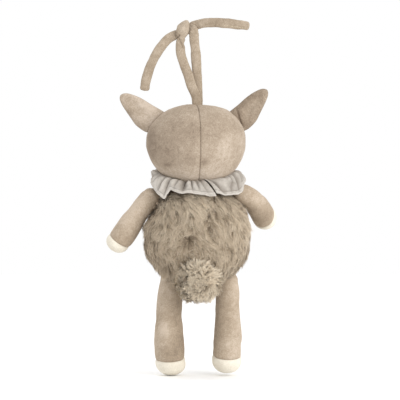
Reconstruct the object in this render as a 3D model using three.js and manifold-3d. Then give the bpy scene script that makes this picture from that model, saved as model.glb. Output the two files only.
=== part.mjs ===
// A hanging musical soft toy: a plush fawn with a fur body, sewn-on limbs, a gathered collar, two tie
// straps on its head and a fluffy tail that pulls the cord of a music movement inside the body.
// Millimetres. +Z is up, the fawn faces -Y, its left side is +X. The origin is the top of the hanging
// loop, just under the knot of the two ties.
import * as THREE from 'three';
import { mergeVertices } from 'three/addons/utils/BufferGeometryUtils.js';
import Module from 'manifold-3d';

const wasm = await Module();
wasm.setup();

// Driving dimensions.
const GAP = 0.3;
const BODY_X = -9;
const PILE = 5;
const COVER = 1.5;
const LIMB_COVER = 1.3;
const HEAD = { x: 2, y: 0, z: -101, rx: 48.5, ry: 41, up: 39, down: 44, boxy: 2.15 };
const TORSO = { x: 0.8, y: 0, z: -194, rx: 52, ry: 39.5, up: 41.5, down: 38, boxy: 2.08 };
const FACE_SEAM_Y = -7;
const NECK = { x: 1.4, pivotZ: -137, ball: 8, stem: 5.5, base: 13, top: -149, bottom: -152.6 };
const RUFFLE = { inner: 17, outer: 44, shallow: 4, innerZ: -147.5, outerZ: -146, wave: 5, folds: 12, sheet: 2,
  shoulderLift: 9 };
const TIE = { width: 9.6, thick: 4.4, knotRadius: 2.2, headTop: -59.4 };
const KNOT = { x: 6, z: 12, length: 15, halfTurns: 3, radiusY: 4.3, radiusZ: 4.9 };
const EAR = { length: 57, halfWidth: 14, thick: 3.6, cup: 5, root: 11 };
const ARM = { tip: 13, rootRadius: 10, handRadius: 12.2, flat: 0.95 };
const LEG = { top: -238.4, hipZ: -230.4, thigh: 12, ankle: 14.9, foot: 18.5 };
const TAIL_RADIUS = 20;
const PULL = { x: -1, slope: Math.PI / 6, tail: 49, cordRadius: 0.9, reelRadius: 8 };
const CASE = { halfX: 23, front: -12, back: 16, split: 2, bottom: -216, top: -177, wall: 1.5 };
const REEL = { y: 3.2, z: -203.5, arbor: 1.2, arborEnd: 19.2 };
const GREAT_WHEEL = { teeth: 28, module: 0.7 };
const CYLINDER_PINION = { teeth: 18, module: 0.7 };
const GOVERNOR_WHEEL = { teeth: 32, module: 0.5 };
const GOVERNOR_PINION = { teeth: 8, module: 0.5 };
const GOVERNOR_ARBOR = 0.8;
const CHASSIS = { halfX: 19.5, wall: 1.5, plateBack: -9.2, plateFront: -10.2, depth: 11, top: -180,
  bottom: -213 };

// Colours and finishes.
const FINISH = {
  velour: { color: 0xbaa996, roughness: 0.95, metalness: 0 },
  fur: { color: 0xa79884, roughness: 1, metalness: 0 },
  cream: { color: 0xeee6d7, roughness: 0.95, metalness: 0 },
  muslin: { color: 0xaea69c, roughness: 0.9, metalness: 0 },
  thread: { color: 0x5a4a3e, roughness: 0.8, metalness: 0 },
  stuffing: { color: 0xf4f2ec, roughness: 1, metalness: 0 },
  plastic: { color: 0xe9e9e4, roughness: 0.5, metalness: 0 },
  brass: { color: 0xc9a24a, roughness: 0.35, metalness: 0.9 },
  steel: { color: 0xb8bcc0, roughness: 0.35, metalness: 0.9 },
};

// Closed meshes in and out of the boolean library.

function welded(geometry) {
  const bare = geometry.clone();
  bare.deleteAttribute('normal');
  bare.deleteAttribute('uv');
  const merged = mergeVertices(bare, 1e-4);
  const corners = merged.index.array;
  const kept = [];
  for (let i = 0; i < corners.length; i += 3) {
    const [a, b, c] = [corners[i], corners[i + 1], corners[i + 2]];
    if (a !== b && b !== c && c !== a) kept.push(a, b, c);
  }
  merged.setIndex(kept);
  return merged;
}

function signedVolume(geometry) {
  const p = geometry.attributes.position;
  const corners = geometry.index.array;
  const [a, b, c] = [new THREE.Vector3(), new THREE.Vector3(), new THREE.Vector3()];
  let sum = 0;
  for (let i = 0; i < corners.length; i += 3) {
    a.fromBufferAttribute(p, corners[i]);
    b.fromBufferAttribute(p, corners[i + 1]);
    c.fromBufferAttribute(p, corners[i + 2]);
    sum += a.dot(b.cross(c));
  }
  return sum / 6;
}

// A welded copy whose faces point outwards.
function closed(geometry) {
  const solid = welded(geometry);
  if (signedVolume(solid) < 0) solid.setIndex([...solid.index.array].reverse());
  solid.computeVertexNormals();
  return solid;
}

function solidOf(geometry) {
  const g = closed(geometry);
  return new wasm.Manifold(new wasm.Mesh({
    numProp: 3,
    vertProperties: new Float32Array(g.attributes.position.array),
    triVerts: new Uint32Array(g.index.array),
  }));
}

function geometryOf(solid) {
  const mesh = solid.getMesh();
  const g = new THREE.BufferGeometry();
  g.setAttribute('position', new THREE.BufferAttribute(new Float32Array(mesh.vertProperties), 3));
  g.setIndex([...mesh.triVerts]);
  return closed(g);
}

const cut = (from, ...tools) => geometryOf(tools.reduce((s, t) => s.subtract(solidOf(t)), solidOf(from)));
const join = (first, ...others) => geometryOf(others.reduce((s, p) => s.add(solidOf(p)), solidOf(first)));
const common = (a, b) => geometryOf(solidOf(a).intersect(solidOf(b)));

// Basic shapes.

// A box given by its lowest and highest corners.
function block(low, high) {
  const g = new THREE.BoxGeometry(high[0] - low[0], high[1] - low[1], high[2] - low[2]);
  return g.translate((high[0] + low[0]) / 2, (high[1] + low[1]) / 2, (high[2] + low[2]) / 2);
}

// A solid of revolution about Z from [radius, z] points.
function turned(profile, sides) {
  const g = new THREE.LatheGeometry(profile.map(([r, z]) => new THREE.Vector2(r, z)), sides);
  g.applyMatrix4(new THREE.Matrix4().set(0, 0, 1, 0, 1, 0, 0, 0, 0, 1, 0, 0, 0, 0, 0, 1));
  return closed(g);
}

// Turns a shape built along Z so that it runs along X.
function alongX(geometry) {
  return geometry.applyMatrix4(new THREE.Matrix4().set(0, 0, 1, 0, 1, 0, 0, 0, 0, 1, 0, 0, 0, 0, 0, 1));
}

function disc(radius, from, to, sides = 16) {
  return turned([[0, from], [radius, from], [radius, to], [0, to]], sides);
}

function ring(inner, outer, from, to, sides = 20) {
  return turned([[inner, from], [outer, from], [outer, to], [inner, to], [inner, from]], sides);
}

// A soft ball with its own radius each way; boxy above 2 fills the corners out.
function ball(size, inset = 0, around = 24, rows = 14) {
  const g = new THREE.SphereGeometry(1, around, rows).rotateX(Math.PI / 2);
  const p = g.attributes.position;
  for (let i = 0; i < p.count; i++) {
    const v = [p.getX(i), p.getY(i), p.getZ(i)];
    const fill = v.reduce((sum, c) => sum + Math.abs(c) ** size.boxy, 0) ** (-1 / size.boxy);
    const rz = (v[2] > 0 ? size.up : size.down) - inset;
    p.setXYZ(i,
      size.x + v[0] * fill * (size.rx - inset),
      size.y + v[1] * fill * (size.ry - inset),
      size.z + v[2] * fill * rz);
  }
  return closed(g);
}

// Moves the vertices of a shape built along Z onto a curve, keeping each ring square to the curve.
function bent(geometry, curve, length) {
  const p = geometry.attributes.position;
  const start = curve.getPointAt(0);
  const end = curve.getPointAt(1);
  const across = new THREE.Vector3().subVectors(end, start).cross(new THREE.Vector3(0, 1, 0)).normalize();
  for (let i = 0; i < p.count; i++) {
    const s = THREE.MathUtils.clamp(p.getZ(i) / length, 0, 1);
    const centre = curve.getPointAt(s);
    const tangent = curve.getTangentAt(s);
    const v = new THREE.Vector3().crossVectors(tangent, across).normalize();
    const u = new THREE.Vector3().crossVectors(v, tangent);
    centre.addScaledVector(u, p.getX(i)).addScaledVector(v, p.getY(i));
    centre.addScaledVector(tangent, p.getZ(i) - s * length);
    p.setXYZ(i, centre.x, centre.y, centre.z);
  }
  return closed(geometry);
}

// Assembly.
const toy = new THREE.Group();
const body = new THREE.Group();
body.position.x = BODY_X;
toy.add(body);

function place(group, name, geometry, finish) {
  const mesh = new THREE.Mesh(closed(geometry), new THREE.MeshStandardMaterial(FINISH[finish]));
  mesh.name = name;
  group.add(mesh);
  return mesh;
}

// The ties: a flat strap from the head, a half knot in which the two wind round each other, a flat end.

const STRAP_A = [[-7.8, 2.7, TIE.headTop], [-6.4, 2.7, -54], [-2.4, 2.7, -44], [1.4, 2.7, -32], [6, 2.4, -20],
  [9.6, 1.4, -9], [12, 0.4, -1]];
const END_A = [[-2, 0, 16.5], [-9, 1.2, 18.2], [-19, 1.8, 18.9], [-30, 1.8, 18.9], [-40, 1.5, 18.1],
  [-50, 1, 16.9], [-60.5, 0.5, 15.6]];
const STRAP_B = [[-9, -2.7, TIE.headTop], [-8.6, -2.7, -48], [-7.8, -2.6, -36], [-7, -2.2, -24],
  [-6.2, -1.4, -12], [-4.6, -0.4, -1.5]];
const END_B = [[14, 0, 16.5], [19, 1.4, 11.5], [23.5, 2, 3.5], [28.5, 2.2, -4.5], [33.5, 2.2, -12.5],
  [38, 2, -21.5], [41.4, 1.6, -30.5], [43.6, 1.2, -39.5], [44.6, 0.8, -49]];

const knotPoint = (t, phase) => new THREE.Vector3(
  KNOT.x + KNOT.length * (0.5 - t),
  KNOT.radiusY * Math.cos(phase + Math.PI * KNOT.halfTurns * t),
  KNOT.z + KNOT.radiusZ * Math.sin(phase + Math.PI * KNOT.halfTurns * t),
);

const curveThrough = (points) => new THREE.CatmullRomCurve3(points.map((p) => (
  p instanceof THREE.Vector3 ? p : new THREE.Vector3(...p))), false, 'centripetal');

function flatStrap(points, steps) {
  const section = new THREE.Shape();
  const sides = 8;
  for (let i = 0; i < sides; i++) {
    const a = (2 * Math.PI * (i + 0.5)) / sides;
    const corner = [Math.cos(a) * TIE.thick * 0.53, Math.sin(a) * TIE.width * 0.53];
    if (i === 0) section.moveTo(...corner);
    else section.lineTo(...corner);
  }
  section.closePath();
  return new THREE.ExtrudeGeometry(section, { steps, curveSegments: 1, extrudePath: curveThrough(points) });
}

function roundCord(points, radius, steps) {
  const section = new THREE.Shape().absarc(0, 0, radius, 0, 2 * Math.PI);
  return new THREE.ExtrudeGeometry(section, { steps, curveSegments: 4, extrudePath: curveThrough(points) });
}

function knotStretch(phase, before, after) {
  const turns = [];
  const count = 18;
  for (let i = 0; i <= count; i++) turns.push(knotPoint(i / count, phase));
  return roundCord([...before, ...turns, ...after], TIE.knotRadius, 26);
}

const strandA = knotStretch(-Math.PI / 2, [STRAP_A.at(-1)], [END_A[0]]);
const strandB = knotStretch(Math.PI / 2, [END_B[0]], [STRAP_B.at(-1)]);
place(toy, 'tie_right', join(flatStrap(STRAP_A, 8), strandA, flatStrap(END_A, 7)), 'velour');
place(toy, 'tie_left', join(flatStrap(STRAP_B, 7), strandB, flatStrap(END_B, 9)), 'velour');

// The head: two back panels and a face panel sewn over the stuffing, with the neck's ball let into it.

const FAR = 200;
const headBall = ball(HEAD);
const neckSocket = new THREE.SphereGeometry(NECK.ball + 0.5, 16, 12).translate(NECK.x, 0, NECK.pivotZ);
const neckMouth = turned([[0, -18], [NECK.stem + 6, -18], [NECK.stem + 1.2, -3], [0, -3]], 16)
  .translate(NECK.x, 0, NECK.pivotZ);
const headSkin = cut(headBall, ball(HEAD, COVER), neckSocket, neckMouth);
const seamX = HEAD.x;
const backLeft = block([seamX + GAP / 2, FACE_SEAM_Y + GAP / 2, -FAR], [FAR, FAR, FAR]);
const backRight = block([-FAR, FACE_SEAM_Y + GAP / 2, -FAR], [seamX - GAP / 2, FAR, FAR]);
const faceSide = block([-FAR, -FAR, -FAR], [FAR, FACE_SEAM_Y - GAP / 2, FAR]);
place(body, 'head_back_left', common(headSkin, backLeft), 'velour');
place(body, 'head_back_right', common(headSkin, backRight), 'velour');
place(body, 'face_panel', common(headSkin, faceSide), 'velour');
place(body, 'head_stuffing', cut(ball(HEAD, COVER + GAP), neckSocket, neckMouth), 'stuffing');

// Muzzle, nose and eyes stand on the face panel.
const headGrown = ball(HEAD, -GAP);
const muzzle = { x: HEAD.x, y: -35, z: -113, rx: 21, ry: 17, up: 14, down: 15, boxy: 2.1 };
place(body, 'muzzle', cut(ball(muzzle, 0, 18, 12), headGrown), 'cream');
const noseY = muzzle.y - muzzle.ry - 0.6;
const nose = { x: HEAD.x, y: noseY, z: -107.5, rx: 6.5, ry: 3.6, up: 4, down: 4.5, boxy: 2.2 };
place(body, 'nose', cut(ball(nose, 0, 14, 8), ball(muzzle, -GAP, 18, 12)), 'thread');
for (const [name, side] of [['eye_left', 1], ['eye_right', -1]]) {
  const lash = { x: HEAD.x + side * 20, y: -37.2, z: -98, rx: 4.6, ry: 3.2, up: 2, down: 2, boxy: 2 };
  place(body, name, cut(ball(lash, 0, 12, 8), headGrown), 'thread');
}

// Ears: a velour back and a pale lining, cut as one leaf and cupped towards the front.
function earLayer(side, tilt, foot, front) {
  const inner = GAP / 2;
  const profile = [[0, inner], [0.92, inner], [1, inner + 0.35], [0.86, 0.62 * EAR.thick], [0.5, EAR.thick],
    [0, EAR.thick]];
  const g = turned(profile, 20);
  const p = g.attributes.position;
  for (let i = 0; i < p.count; i++) {
    const along = (p.getX(i) + 1) / 2;
    const width = EAR.halfWidth * (1.1 - 0.42 * along ** 2.4);
    const across = p.getY(i) * width;
    const cupped = EAR.cup * (across / EAR.halfWidth) ** 2;
    const lift = (front ? -1 : 1) * p.getZ(i) - cupped;
    p.setXYZ(i, along * EAR.length - EAR.root, lift, across);
  }
  const placed = closed(g).rotateY(-tilt);
  if (side < 0) placed.scale(-1, 1, 1);
  placed.translate(foot[0], foot[1], foot[2]);
  return cut(placed, headGrown);
}

const EARS = [
  ['ear_left', 1, THREE.MathUtils.degToRad(35), [41, -1, -79]],
  ['ear_right', -1, THREE.MathUtils.degToRad(44), [-37, -1, -79]],
];
for (const [name, side, tilt, foot] of EARS) {
  place(body, `${name}_back`, earLayer(side, tilt, foot, false), 'velour');
  place(body, `${name}_lining`, earLayer(side, tilt, foot, true), 'cream');
}

// Neck and collar: a stuffed neck, its sewn band, and a gathered ruffle open at the centre back.

const neckProfile = [[0, NECK.bottom], [NECK.base, NECK.bottom], [NECK.base - 1, NECK.top],
  [NECK.stem, NECK.top + 1]];
for (let i = 0; i <= 6; i++) {
  const a = -0.26 * Math.PI + (i / 6) * 0.76 * Math.PI;
  neckProfile.push([i === 6 ? 0 : NECK.ball * Math.cos(a), NECK.pivotZ + NECK.ball * Math.sin(a)]);
}
place(body, 'neck_stuffing', turned(neckProfile, 16).translate(NECK.x, 0, 0), 'stuffing');
const bandInner = NECK.base + GAP;
const neckBand = ring(bandInner, RUFFLE.inner - GAP, NECK.bottom, NECK.top + 1.6, 16);
place(body, 'neck_band', neckBand.translate(NECK.x, 0, 0), 'muslin');

function ruffle() {
  const g = new THREE.BoxGeometry(1, 1, 1, 60, 2, 1);
  const p = g.attributes.position;
  const opening = THREE.MathUtils.degToRad(7);
  for (let i = 0; i < p.count; i++) {
    const turn = p.getX(i) + 0.5;
    const out = p.getY(i) + 0.5;
    const angle = Math.PI / 2 + opening / 2 + turn * (2 * Math.PI - opening);
    const fold = Math.cos(RUFFLE.folds * angle) * RUFFLE.wave * out;
    const radius = RUFFLE.inner + (RUFFLE.outer - RUFFLE.inner) * out;
    const depth = radius - RUFFLE.shallow * out;
    const lift = RUFFLE.shoulderLift * Math.cos(angle) ** 2 * out;
    const z = RUFFLE.innerZ + (RUFFLE.outerZ - RUFFLE.innerZ) * out + fold + lift + p.getZ(i) * RUFFLE.sheet;
    p.setXYZ(i, NECK.x + radius * Math.cos(angle), depth * Math.sin(angle), z);
  }
  return closed(g);
}
place(body, 'collar_ruffle', ruffle(), 'muslin');

// The pull line runs straight from the top of the reel, down and backwards, through the tail's centre.

const pullDirection = new THREE.Vector3(0, Math.sin(PULL.slope), -Math.cos(PULL.slope));
const pullStart = new THREE.Vector3(
  PULL.x,
  REEL.y + PULL.reelRadius * Math.cos(PULL.slope),
  REEL.z + PULL.reelRadius * Math.sin(PULL.slope),
);
const onPull = (distance) => pullStart.clone().addScaledVector(pullDirection, distance);
function alongPull(geometry) {
  const turn = new THREE.Quaternion().setFromUnitVectors(new THREE.Vector3(0, 0, 1), pullDirection);
  return geometry.applyQuaternion(turn).translate(pullStart.x, pullStart.y, pullStart.z);
}

// The body: a fur back and front panel over the stuffing, which holds the movement's case.

const caseSpace = block([-CASE.halfX - GAP, CASE.front - GAP, CASE.bottom - GAP],
  [CASE.halfX + GAP, CASE.back + GAP, CASE.top + GAP]);
const furSkin = cut(ball(TORSO), ball(TORSO, PILE));
const backHalf = block([-FAR, GAP / 2, -2 * FAR], [FAR, FAR, FAR]);
const frontHalf = block([-FAR, -FAR, -2 * FAR], [FAR, -GAP / 2, FAR]);
const neckSeat = block([-FAR, -FAR, NECK.bottom - GAP], [FAR, FAR, 0]);
const eyelet = { inner: 1.5, outer: 2.9, from: 21.4, to: 27.6 };
place(body, 'torso_fur_back',
  cut(common(furSkin, backHalf), alongPull(disc(eyelet.outer + GAP, 15, 40)), neckSeat), 'fur');
place(body, 'torso_fur_front', cut(common(furSkin, frontHalf), neckSeat), 'fur');
place(body, 'torso_stuffing',
  cut(ball(TORSO, PILE + GAP), caseSpace, alongPull(disc(eyelet.outer + GAP, 4, 40))), 'stuffing');
const eyeletRing = ring(eyelet.inner, eyelet.outer, eyelet.from, eyelet.to, 14);
place(body, 'cord_eyelet', alongPull(eyeletRing), 'plastic');

// Limbs: a velour sleeve with a cream end sewn on, stuffing inside, and a flat unstuffed tab at the joint.

function limbRadius(s, length, root, end) {
  const widen = root + (end - root) * THREE.MathUtils.smoothstep(s, 0, length * 0.8);
  const dome = Math.min(1, s / (root * 0.9));
  const tip = Math.min(1, (length - s) / (end * 0.85));
  return widen * Math.sqrt(1 - (1 - dome) ** 2) * (1 - (1 - tip) ** 2.4) ** 0.5;
}

// Three nested solids of one limb built along Z: sleeve, end cap and stuffing.
function limbSolids(length, cap, root, end, flat, sides = 12) {
  const seam = length - cap;
  const outer = (s) => limbRadius(s, length, root, end);
  const hollow = (s, inset) => {
    const inside = limbRadius(s - inset, length - 2 * inset, root - inset, end - inset);
    return Math.max(0.05, inside);
  };
  const stations = (from, to, count) => (
    Array.from({ length: count + 1 }, (_, i) => from + ((to - from) * i) / count));
  const sleeve = [[0, 0]];
  for (const s of [1, 3.5, 7]) sleeve.push([outer(s), s]);
  for (const s of stations(14, seam - GAP / 2, 4)) sleeve.push([outer(s), s]);
  for (const s of stations(seam - GAP / 2, 14, 4)) sleeve.push([hollow(s, LIMB_COVER), s]);
  for (const s of [8, 4.5, 2.4]) sleeve.push([hollow(s, LIMB_COVER), s]);
  sleeve.push([0, LIMB_COVER]);
  const end3 = stations(seam + GAP / 2, length, 5);
  const capOut = end3.slice(0, -1).map((s) => [outer(s), s]);
  const inEnd = length - LIMB_COVER;
  const capIn = stations(inEnd, seam + GAP / 2, 5).slice(1).map((s) => [hollow(s, LIMB_COVER), s]);
  const capProfile = [...capOut, [0, length], [0, inEnd], ...capIn, capOut[0]];
  const fill = LIMB_COVER + GAP;
  const core = [[0, fill]];
  for (const s of [3.2, 6, 10]) core.push([hollow(s, fill), s]);
  for (const s of stations(16, seam, 3)) core.push([hollow(s, fill), s]);
  for (const s of stations(seam, length - fill, 5).slice(1, -1)) core.push([hollow(s, fill), s]);
  core.push([0, length - fill]);
  const rounded = (profile) => turned(profile, sides).scale(1, flat, 1);
  return { sleeve: rounded(sleeve), cap: capSolid(capProfile, sides).scale(1, flat, 1), core: rounded(core) };
}

// A cap's profile starts and ends at its rim, so its outer and inner skins are turned apart and joined.
function capSolid(profile, sides) {
  const outerEnd = profile.findIndex(([r]) => r === 0);
  const outer = profile.slice(0, outerEnd + 1);
  const inner = profile.slice(outerEnd + 1, -1);
  const whole = turned([[0, outer[0][1]], ...outer], sides);
  const base = inner.at(-1);
  const hollow = turned([...inner, [base[0], base[1] - 1], [0, base[1] - 1]], sides);
  return cut(whole, hollow);
}

function shoulderTab(centre, lean) {
  return new THREE.BoxGeometry(4.6, 13, 1.8).rotateY(-lean).translate(...centre);
}

const ARMS = [
  ['left', [[46.4, 3, -154.2], [60, 4, -172.2], [73.4, 4, -190], [86.6, 3, -207.8]],
    [40.2, 3, -161], THREE.MathUtils.degToRad(50)],
  ['right', [[-45, 2, -154], [-53, -4, -158.8], [-60, -13, -166.3], [-66, -25, -175], [-70.5, -38, -183]],
    [-39.6, 2, -161.4], THREE.MathUtils.degToRad(122)],
];
for (const [side, route, tabCentre, lean] of ARMS) {
  const curve = curveThrough(route);
  const length = curve.getLength();
  const solids = limbSolids(length, ARM.tip, ARM.rootRadius, ARM.handRadius, ARM.flat);
  place(body, `arm_${side}_sleeve`, bent(solids.sleeve, curve, length), 'velour');
  place(body, `arm_${side}_hand`, bent(solids.cap, curve, length), 'cream');
  place(body, `arm_${side}_stuffing`, bent(solids.core, curve, length), 'stuffing');
  place(body, `shoulder_tab_${side}`, shoulderTab(tabCentre, lean), 'velour');
}

const LEGS = [
  ['left', 28, 27.7, -333.7],
  ['right', -29.4, -28.4, -331.5],
];
for (const [side, topX, footX, soleZ] of LEGS) {
  const curve = new THREE.LineCurve3(new THREE.Vector3(topX, 0, LEG.top), new THREE.Vector3(footX, 0, soleZ));
  const length = curve.getLength();
  const solids = limbSolids(length, LEG.foot, LEG.thigh, LEG.ankle - (side === 'right' ? 0.6 : 0), 0.97);
  place(body, `leg_${side}_sleeve`, bent(solids.sleeve, curve, length), 'velour');
  place(body, `leg_${side}_foot`, bent(solids.cap, curve, length), 'cream');
  place(body, `leg_${side}_stuffing`, bent(solids.core, curve, length), 'stuffing');
  place(body, `hip_tab_${side}`,
    block([topX - 7, -1, LEG.top + GAP], [topX + 7, 1, LEG.hipZ]), 'velour');
}

// The tail: a fur ball on the end of the pull cord, knotted inside it.

const knotRadius = 2.6;
const tailBall = new THREE.SphereGeometry(TAIL_RADIUS, 18, 12).translate(...onPull(PULL.tail));
const tailBore = alongPull(disc(PULL.cordRadius + 0.7, PULL.tail - TAIL_RADIUS - 3, PULL.tail, 10));
const pocketRadius = knotRadius + GAP;
const tailPocket = alongPull(disc(pocketRadius, PULL.tail - pocketRadius, PULL.tail + pocketRadius, 12));
place(body, 'tail_pompom', cut(tailBall, tailBore, tailPocket), 'fur');
const tailKnot = new THREE.SphereGeometry(knotRadius, 12, 8);
place(body, 'tail_knot', tailKnot.translate(...onPull(PULL.tail)), 'thread');
place(body, 'pull_cord', alongPull(disc(PULL.cordRadius, 0, PULL.tail - knotRadius - GAP, 8)), 'thread');

// The music movement: case halves, chassis, reel with its spring, pinned cylinder, comb and governor.

function caseHalf(from, to) {
  const outside = block([-CASE.halfX, from, CASE.bottom], [CASE.halfX, to, CASE.top]);
  const w = CASE.wall;
  const inside = block([-CASE.halfX + w, CASE.front + w, CASE.bottom + w],
    [CASE.halfX - w, CASE.back - w, CASE.top - w]);
  return cut(outside, inside);
}
place(body, 'case_front', caseHalf(CASE.front, CASE.split - GAP / 2), 'plastic');
const cordHole = alongPull(disc(PULL.cordRadius + 1, 0, 20, 10));
place(body, 'case_back', cut(caseHalf(CASE.split + GAP / 2, CASE.back), cordHole), 'plastic');

const pitch = (wheel) => (wheel.teeth * wheel.module) / 2;
const cylinderLean = 3.2;
const cylinderDistance = pitch(GREAT_WHEEL) + pitch(CYLINDER_PINION);
const cylinderAxis = {
  y: REEL.y - cylinderLean,
  z: REEL.z + Math.sqrt(cylinderDistance ** 2 - cylinderLean ** 2),
};
const governorAngle = THREE.MathUtils.degToRad(23);
const governorDistance = pitch(GOVERNOR_WHEEL) + pitch(GOVERNOR_PINION);
const governorAxis = {
  y: cylinderAxis.y + governorDistance * Math.cos(governorAngle),
  z: cylinderAxis.z + governorDistance * Math.sin(governorAngle),
};
const atAxis = (geometry, axis) => alongX(geometry).translate(0, axis.y, axis.z);

// A toothed wheel along Z; one tooth, or one gap, faces the given direction.
function gear(wheel, from, to, facing, gapFaces, bore) {
  const r = pitch(wheel);
  const root = r - 1.3 * wheel.module;
  const tip = r + 0.8 * wheel.module;
  const step = (2 * Math.PI) / wheel.teeth;
  const start = facing + (gapFaces ? step / 2 : 0);
  const shape = new THREE.Shape();
  for (let i = 0; i < wheel.teeth; i++) {
    for (const [radius, offset] of [[root, -0.27], [tip, -0.1], [tip, 0.1], [root, 0.27]]) {
      const a = start + (i + offset) * step;
      const corner = [radius * Math.cos(a), radius * Math.sin(a)];
      if (i === 0 && offset === -0.27) shape.moveTo(...corner);
      else shape.lineTo(...corner);
    }
  }
  shape.closePath();
  if (bore) shape.holes.push(new THREE.Path().absarc(0, 0, bore, 0, 2 * Math.PI, true));
  return new THREE.ExtrudeGeometry(shape, { depth: to - from, bevelEnabled: false, curveSegments: 6 })
    .translate(0, 0, from);
}

const toCylinder = Math.atan2(cylinderAxis.z - REEL.z, cylinderAxis.y - REEL.y);
const bore = REEL.arbor + GAP;
const greatWheel = gear(GREAT_WHEEL, 6, 8, toCylinder, false, bore);
const cylinderPinion = gear(CYLINDER_PINION, 6, 8, toCylinder + Math.PI, true, bore);
const governorWheel = gear(GOVERNOR_WHEEL, 10, 11.5, governorAngle, false, bore);
const governorPinion = gear(GOVERNOR_PINION, 9.7, 11.8, governorAngle + Math.PI, true, 0);
const arbor = (radius) => disc(radius, -REEL.arborEnd, REEL.arborEnd, 12);

const walls = new THREE.Shape();
const outline = [[-CHASSIS.halfX, CHASSIS.plateFront], [CHASSIS.halfX, CHASSIS.plateFront],
  [CHASSIS.halfX, CHASSIS.depth], [CHASSIS.halfX - CHASSIS.wall, CHASSIS.depth],
  [CHASSIS.halfX - CHASSIS.wall, CHASSIS.plateBack], [-CHASSIS.halfX + CHASSIS.wall, CHASSIS.plateBack],
  [-CHASSIS.halfX + CHASSIS.wall, CHASSIS.depth], [-CHASSIS.halfX, CHASSIS.depth]];
outline.forEach(([x, y], i) => (i ? walls.lineTo(x, y) : walls.moveTo(x, y)));
walls.closePath();
const channel = new THREE.ExtrudeGeometry(walls, { depth: CHASSIS.top - CHASSIS.bottom, bevelEnabled: false })
  .translate(0, 0, CHASSIS.bottom);
const bearing = (radius) => disc(radius + 0.08, -FAR, FAR, 16);
const combScrewX = [-11, 1];
const combScrewZ = -199;
const screwHole = (x) => new THREE.CylinderGeometry(1.05, 1.05, 30, 12).translate(x, -8, combScrewZ);
const bearings = [
  atAxis(bearing(REEL.arbor), REEL),
  atAxis(bearing(REEL.arbor), cylinderAxis),
  atAxis(bearing(GOVERNOR_ARBOR), governorAxis),
];
place(body, 'movement_chassis', cut(channel, ...bearings, ...combScrewX.map(screwHole)), 'steel');

place(body, 'reel_arbor', atAxis(arbor(REEL.arbor), REEL), 'steel');
const drum = turned([[bore, -4.4], [9.2, -4.4], [9.2, -3.4], [5.4, -3.2], [5.4, 3.2], [9.2, 3.4], [9.2, 4.4],
  [bore, 4.4], [bore, -4.4]], 20);
place(body, 'cord_reel', atAxis(drum, REEL), 'plastic');
place(body, 'cord_winding', atAxis(ring(5.4 + GAP, 6.9, -3, 3, 18), REEL), 'thread');
const barrel = turned([[bore, -17], [9.2, -17], [9.2, -5], [8.4, -5], [8.4, -16.2], [bore, -16.2],
  [bore, -17]], 20);
place(body, 'spring_barrel', atAxis(barrel, REEL), 'brass');
place(body, 'great_wheel', atAxis(greatWheel, REEL), 'brass');

// The mainspring: a flat strip wound in a spiral from the arbor to the barrel's wall.
function mainspring() {
  const strip = new THREE.Shape();
  const turns = 4;
  const radiusAt = (t) => 2.2 + (7.6 - 2.2) * t;
  const count = 52;
  for (let i = 0; i <= count; i++) {
    const a = (2 * Math.PI * turns * i) / count;
    const r = radiusAt(i / count);
    if (i === 0) strip.moveTo(r, 0);
    else strip.lineTo(r * Math.cos(a), r * Math.sin(a));
  }
  for (let i = count; i >= 0; i--) {
    const a = (2 * Math.PI * turns * i) / count;
    const r = radiusAt(i / count) + 0.5;
    strip.lineTo(r * Math.cos(a), r * Math.sin(a));
  }
  strip.closePath();
  return new THREE.ExtrudeGeometry(strip, { depth: 10, bevelEnabled: false }).translate(0, 0, -15.8);
}
place(body, 'mainspring', atAxis(mainspring(), REEL), 'steel');

// The pinned cylinder: each note's pins stand in a ring of their own.
function pinnedCylinder() {
  const rings = 9;
  const pins = 4;
  const solid = [ring(bore, 5.5, -15, 5, 22)];
  for (let i = 0; i < rings; i++) {
    for (let k = 0; k < pins; k++) {
      const angle = (2 * Math.PI * (k + ((i * 5) % rings) / rings)) / pins;
      const pin = new THREE.BoxGeometry(1.1, 0.5, 0.5).translate(5.55, 0, -14 + i * 2.2);
      solid.push(pin.rotateZ(angle));
    }
  }
  return join(...solid);
}
place(body, 'pinned_cylinder', atAxis(pinnedCylinder(), cylinderAxis), 'brass');
place(body, 'cylinder_arbor', atAxis(arbor(REEL.arbor), cylinderAxis), 'steel');
place(body, 'cylinder_pinion', atAxis(cylinderPinion, cylinderAxis), 'brass');
place(body, 'governor_wheel', atAxis(governorWheel, cylinderAxis), 'brass');
place(body, 'governor_arbor', atAxis(join(arbor(GOVERNOR_ARBOR), governorPinion), governorAxis), 'steel');
const fanBlade = new THREE.BoxGeometry(9.2, 0.7, 3.6).translate(0, 0, 15);
const fan = cut(join(disc(1.9, 13.2, 16.8, 12), fanBlade), disc(GOVERNOR_ARBOR + 0.2, 12, 18, 12));
place(body, 'governor_fan', atAxis(fan, governorAxis), 'plastic');

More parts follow.
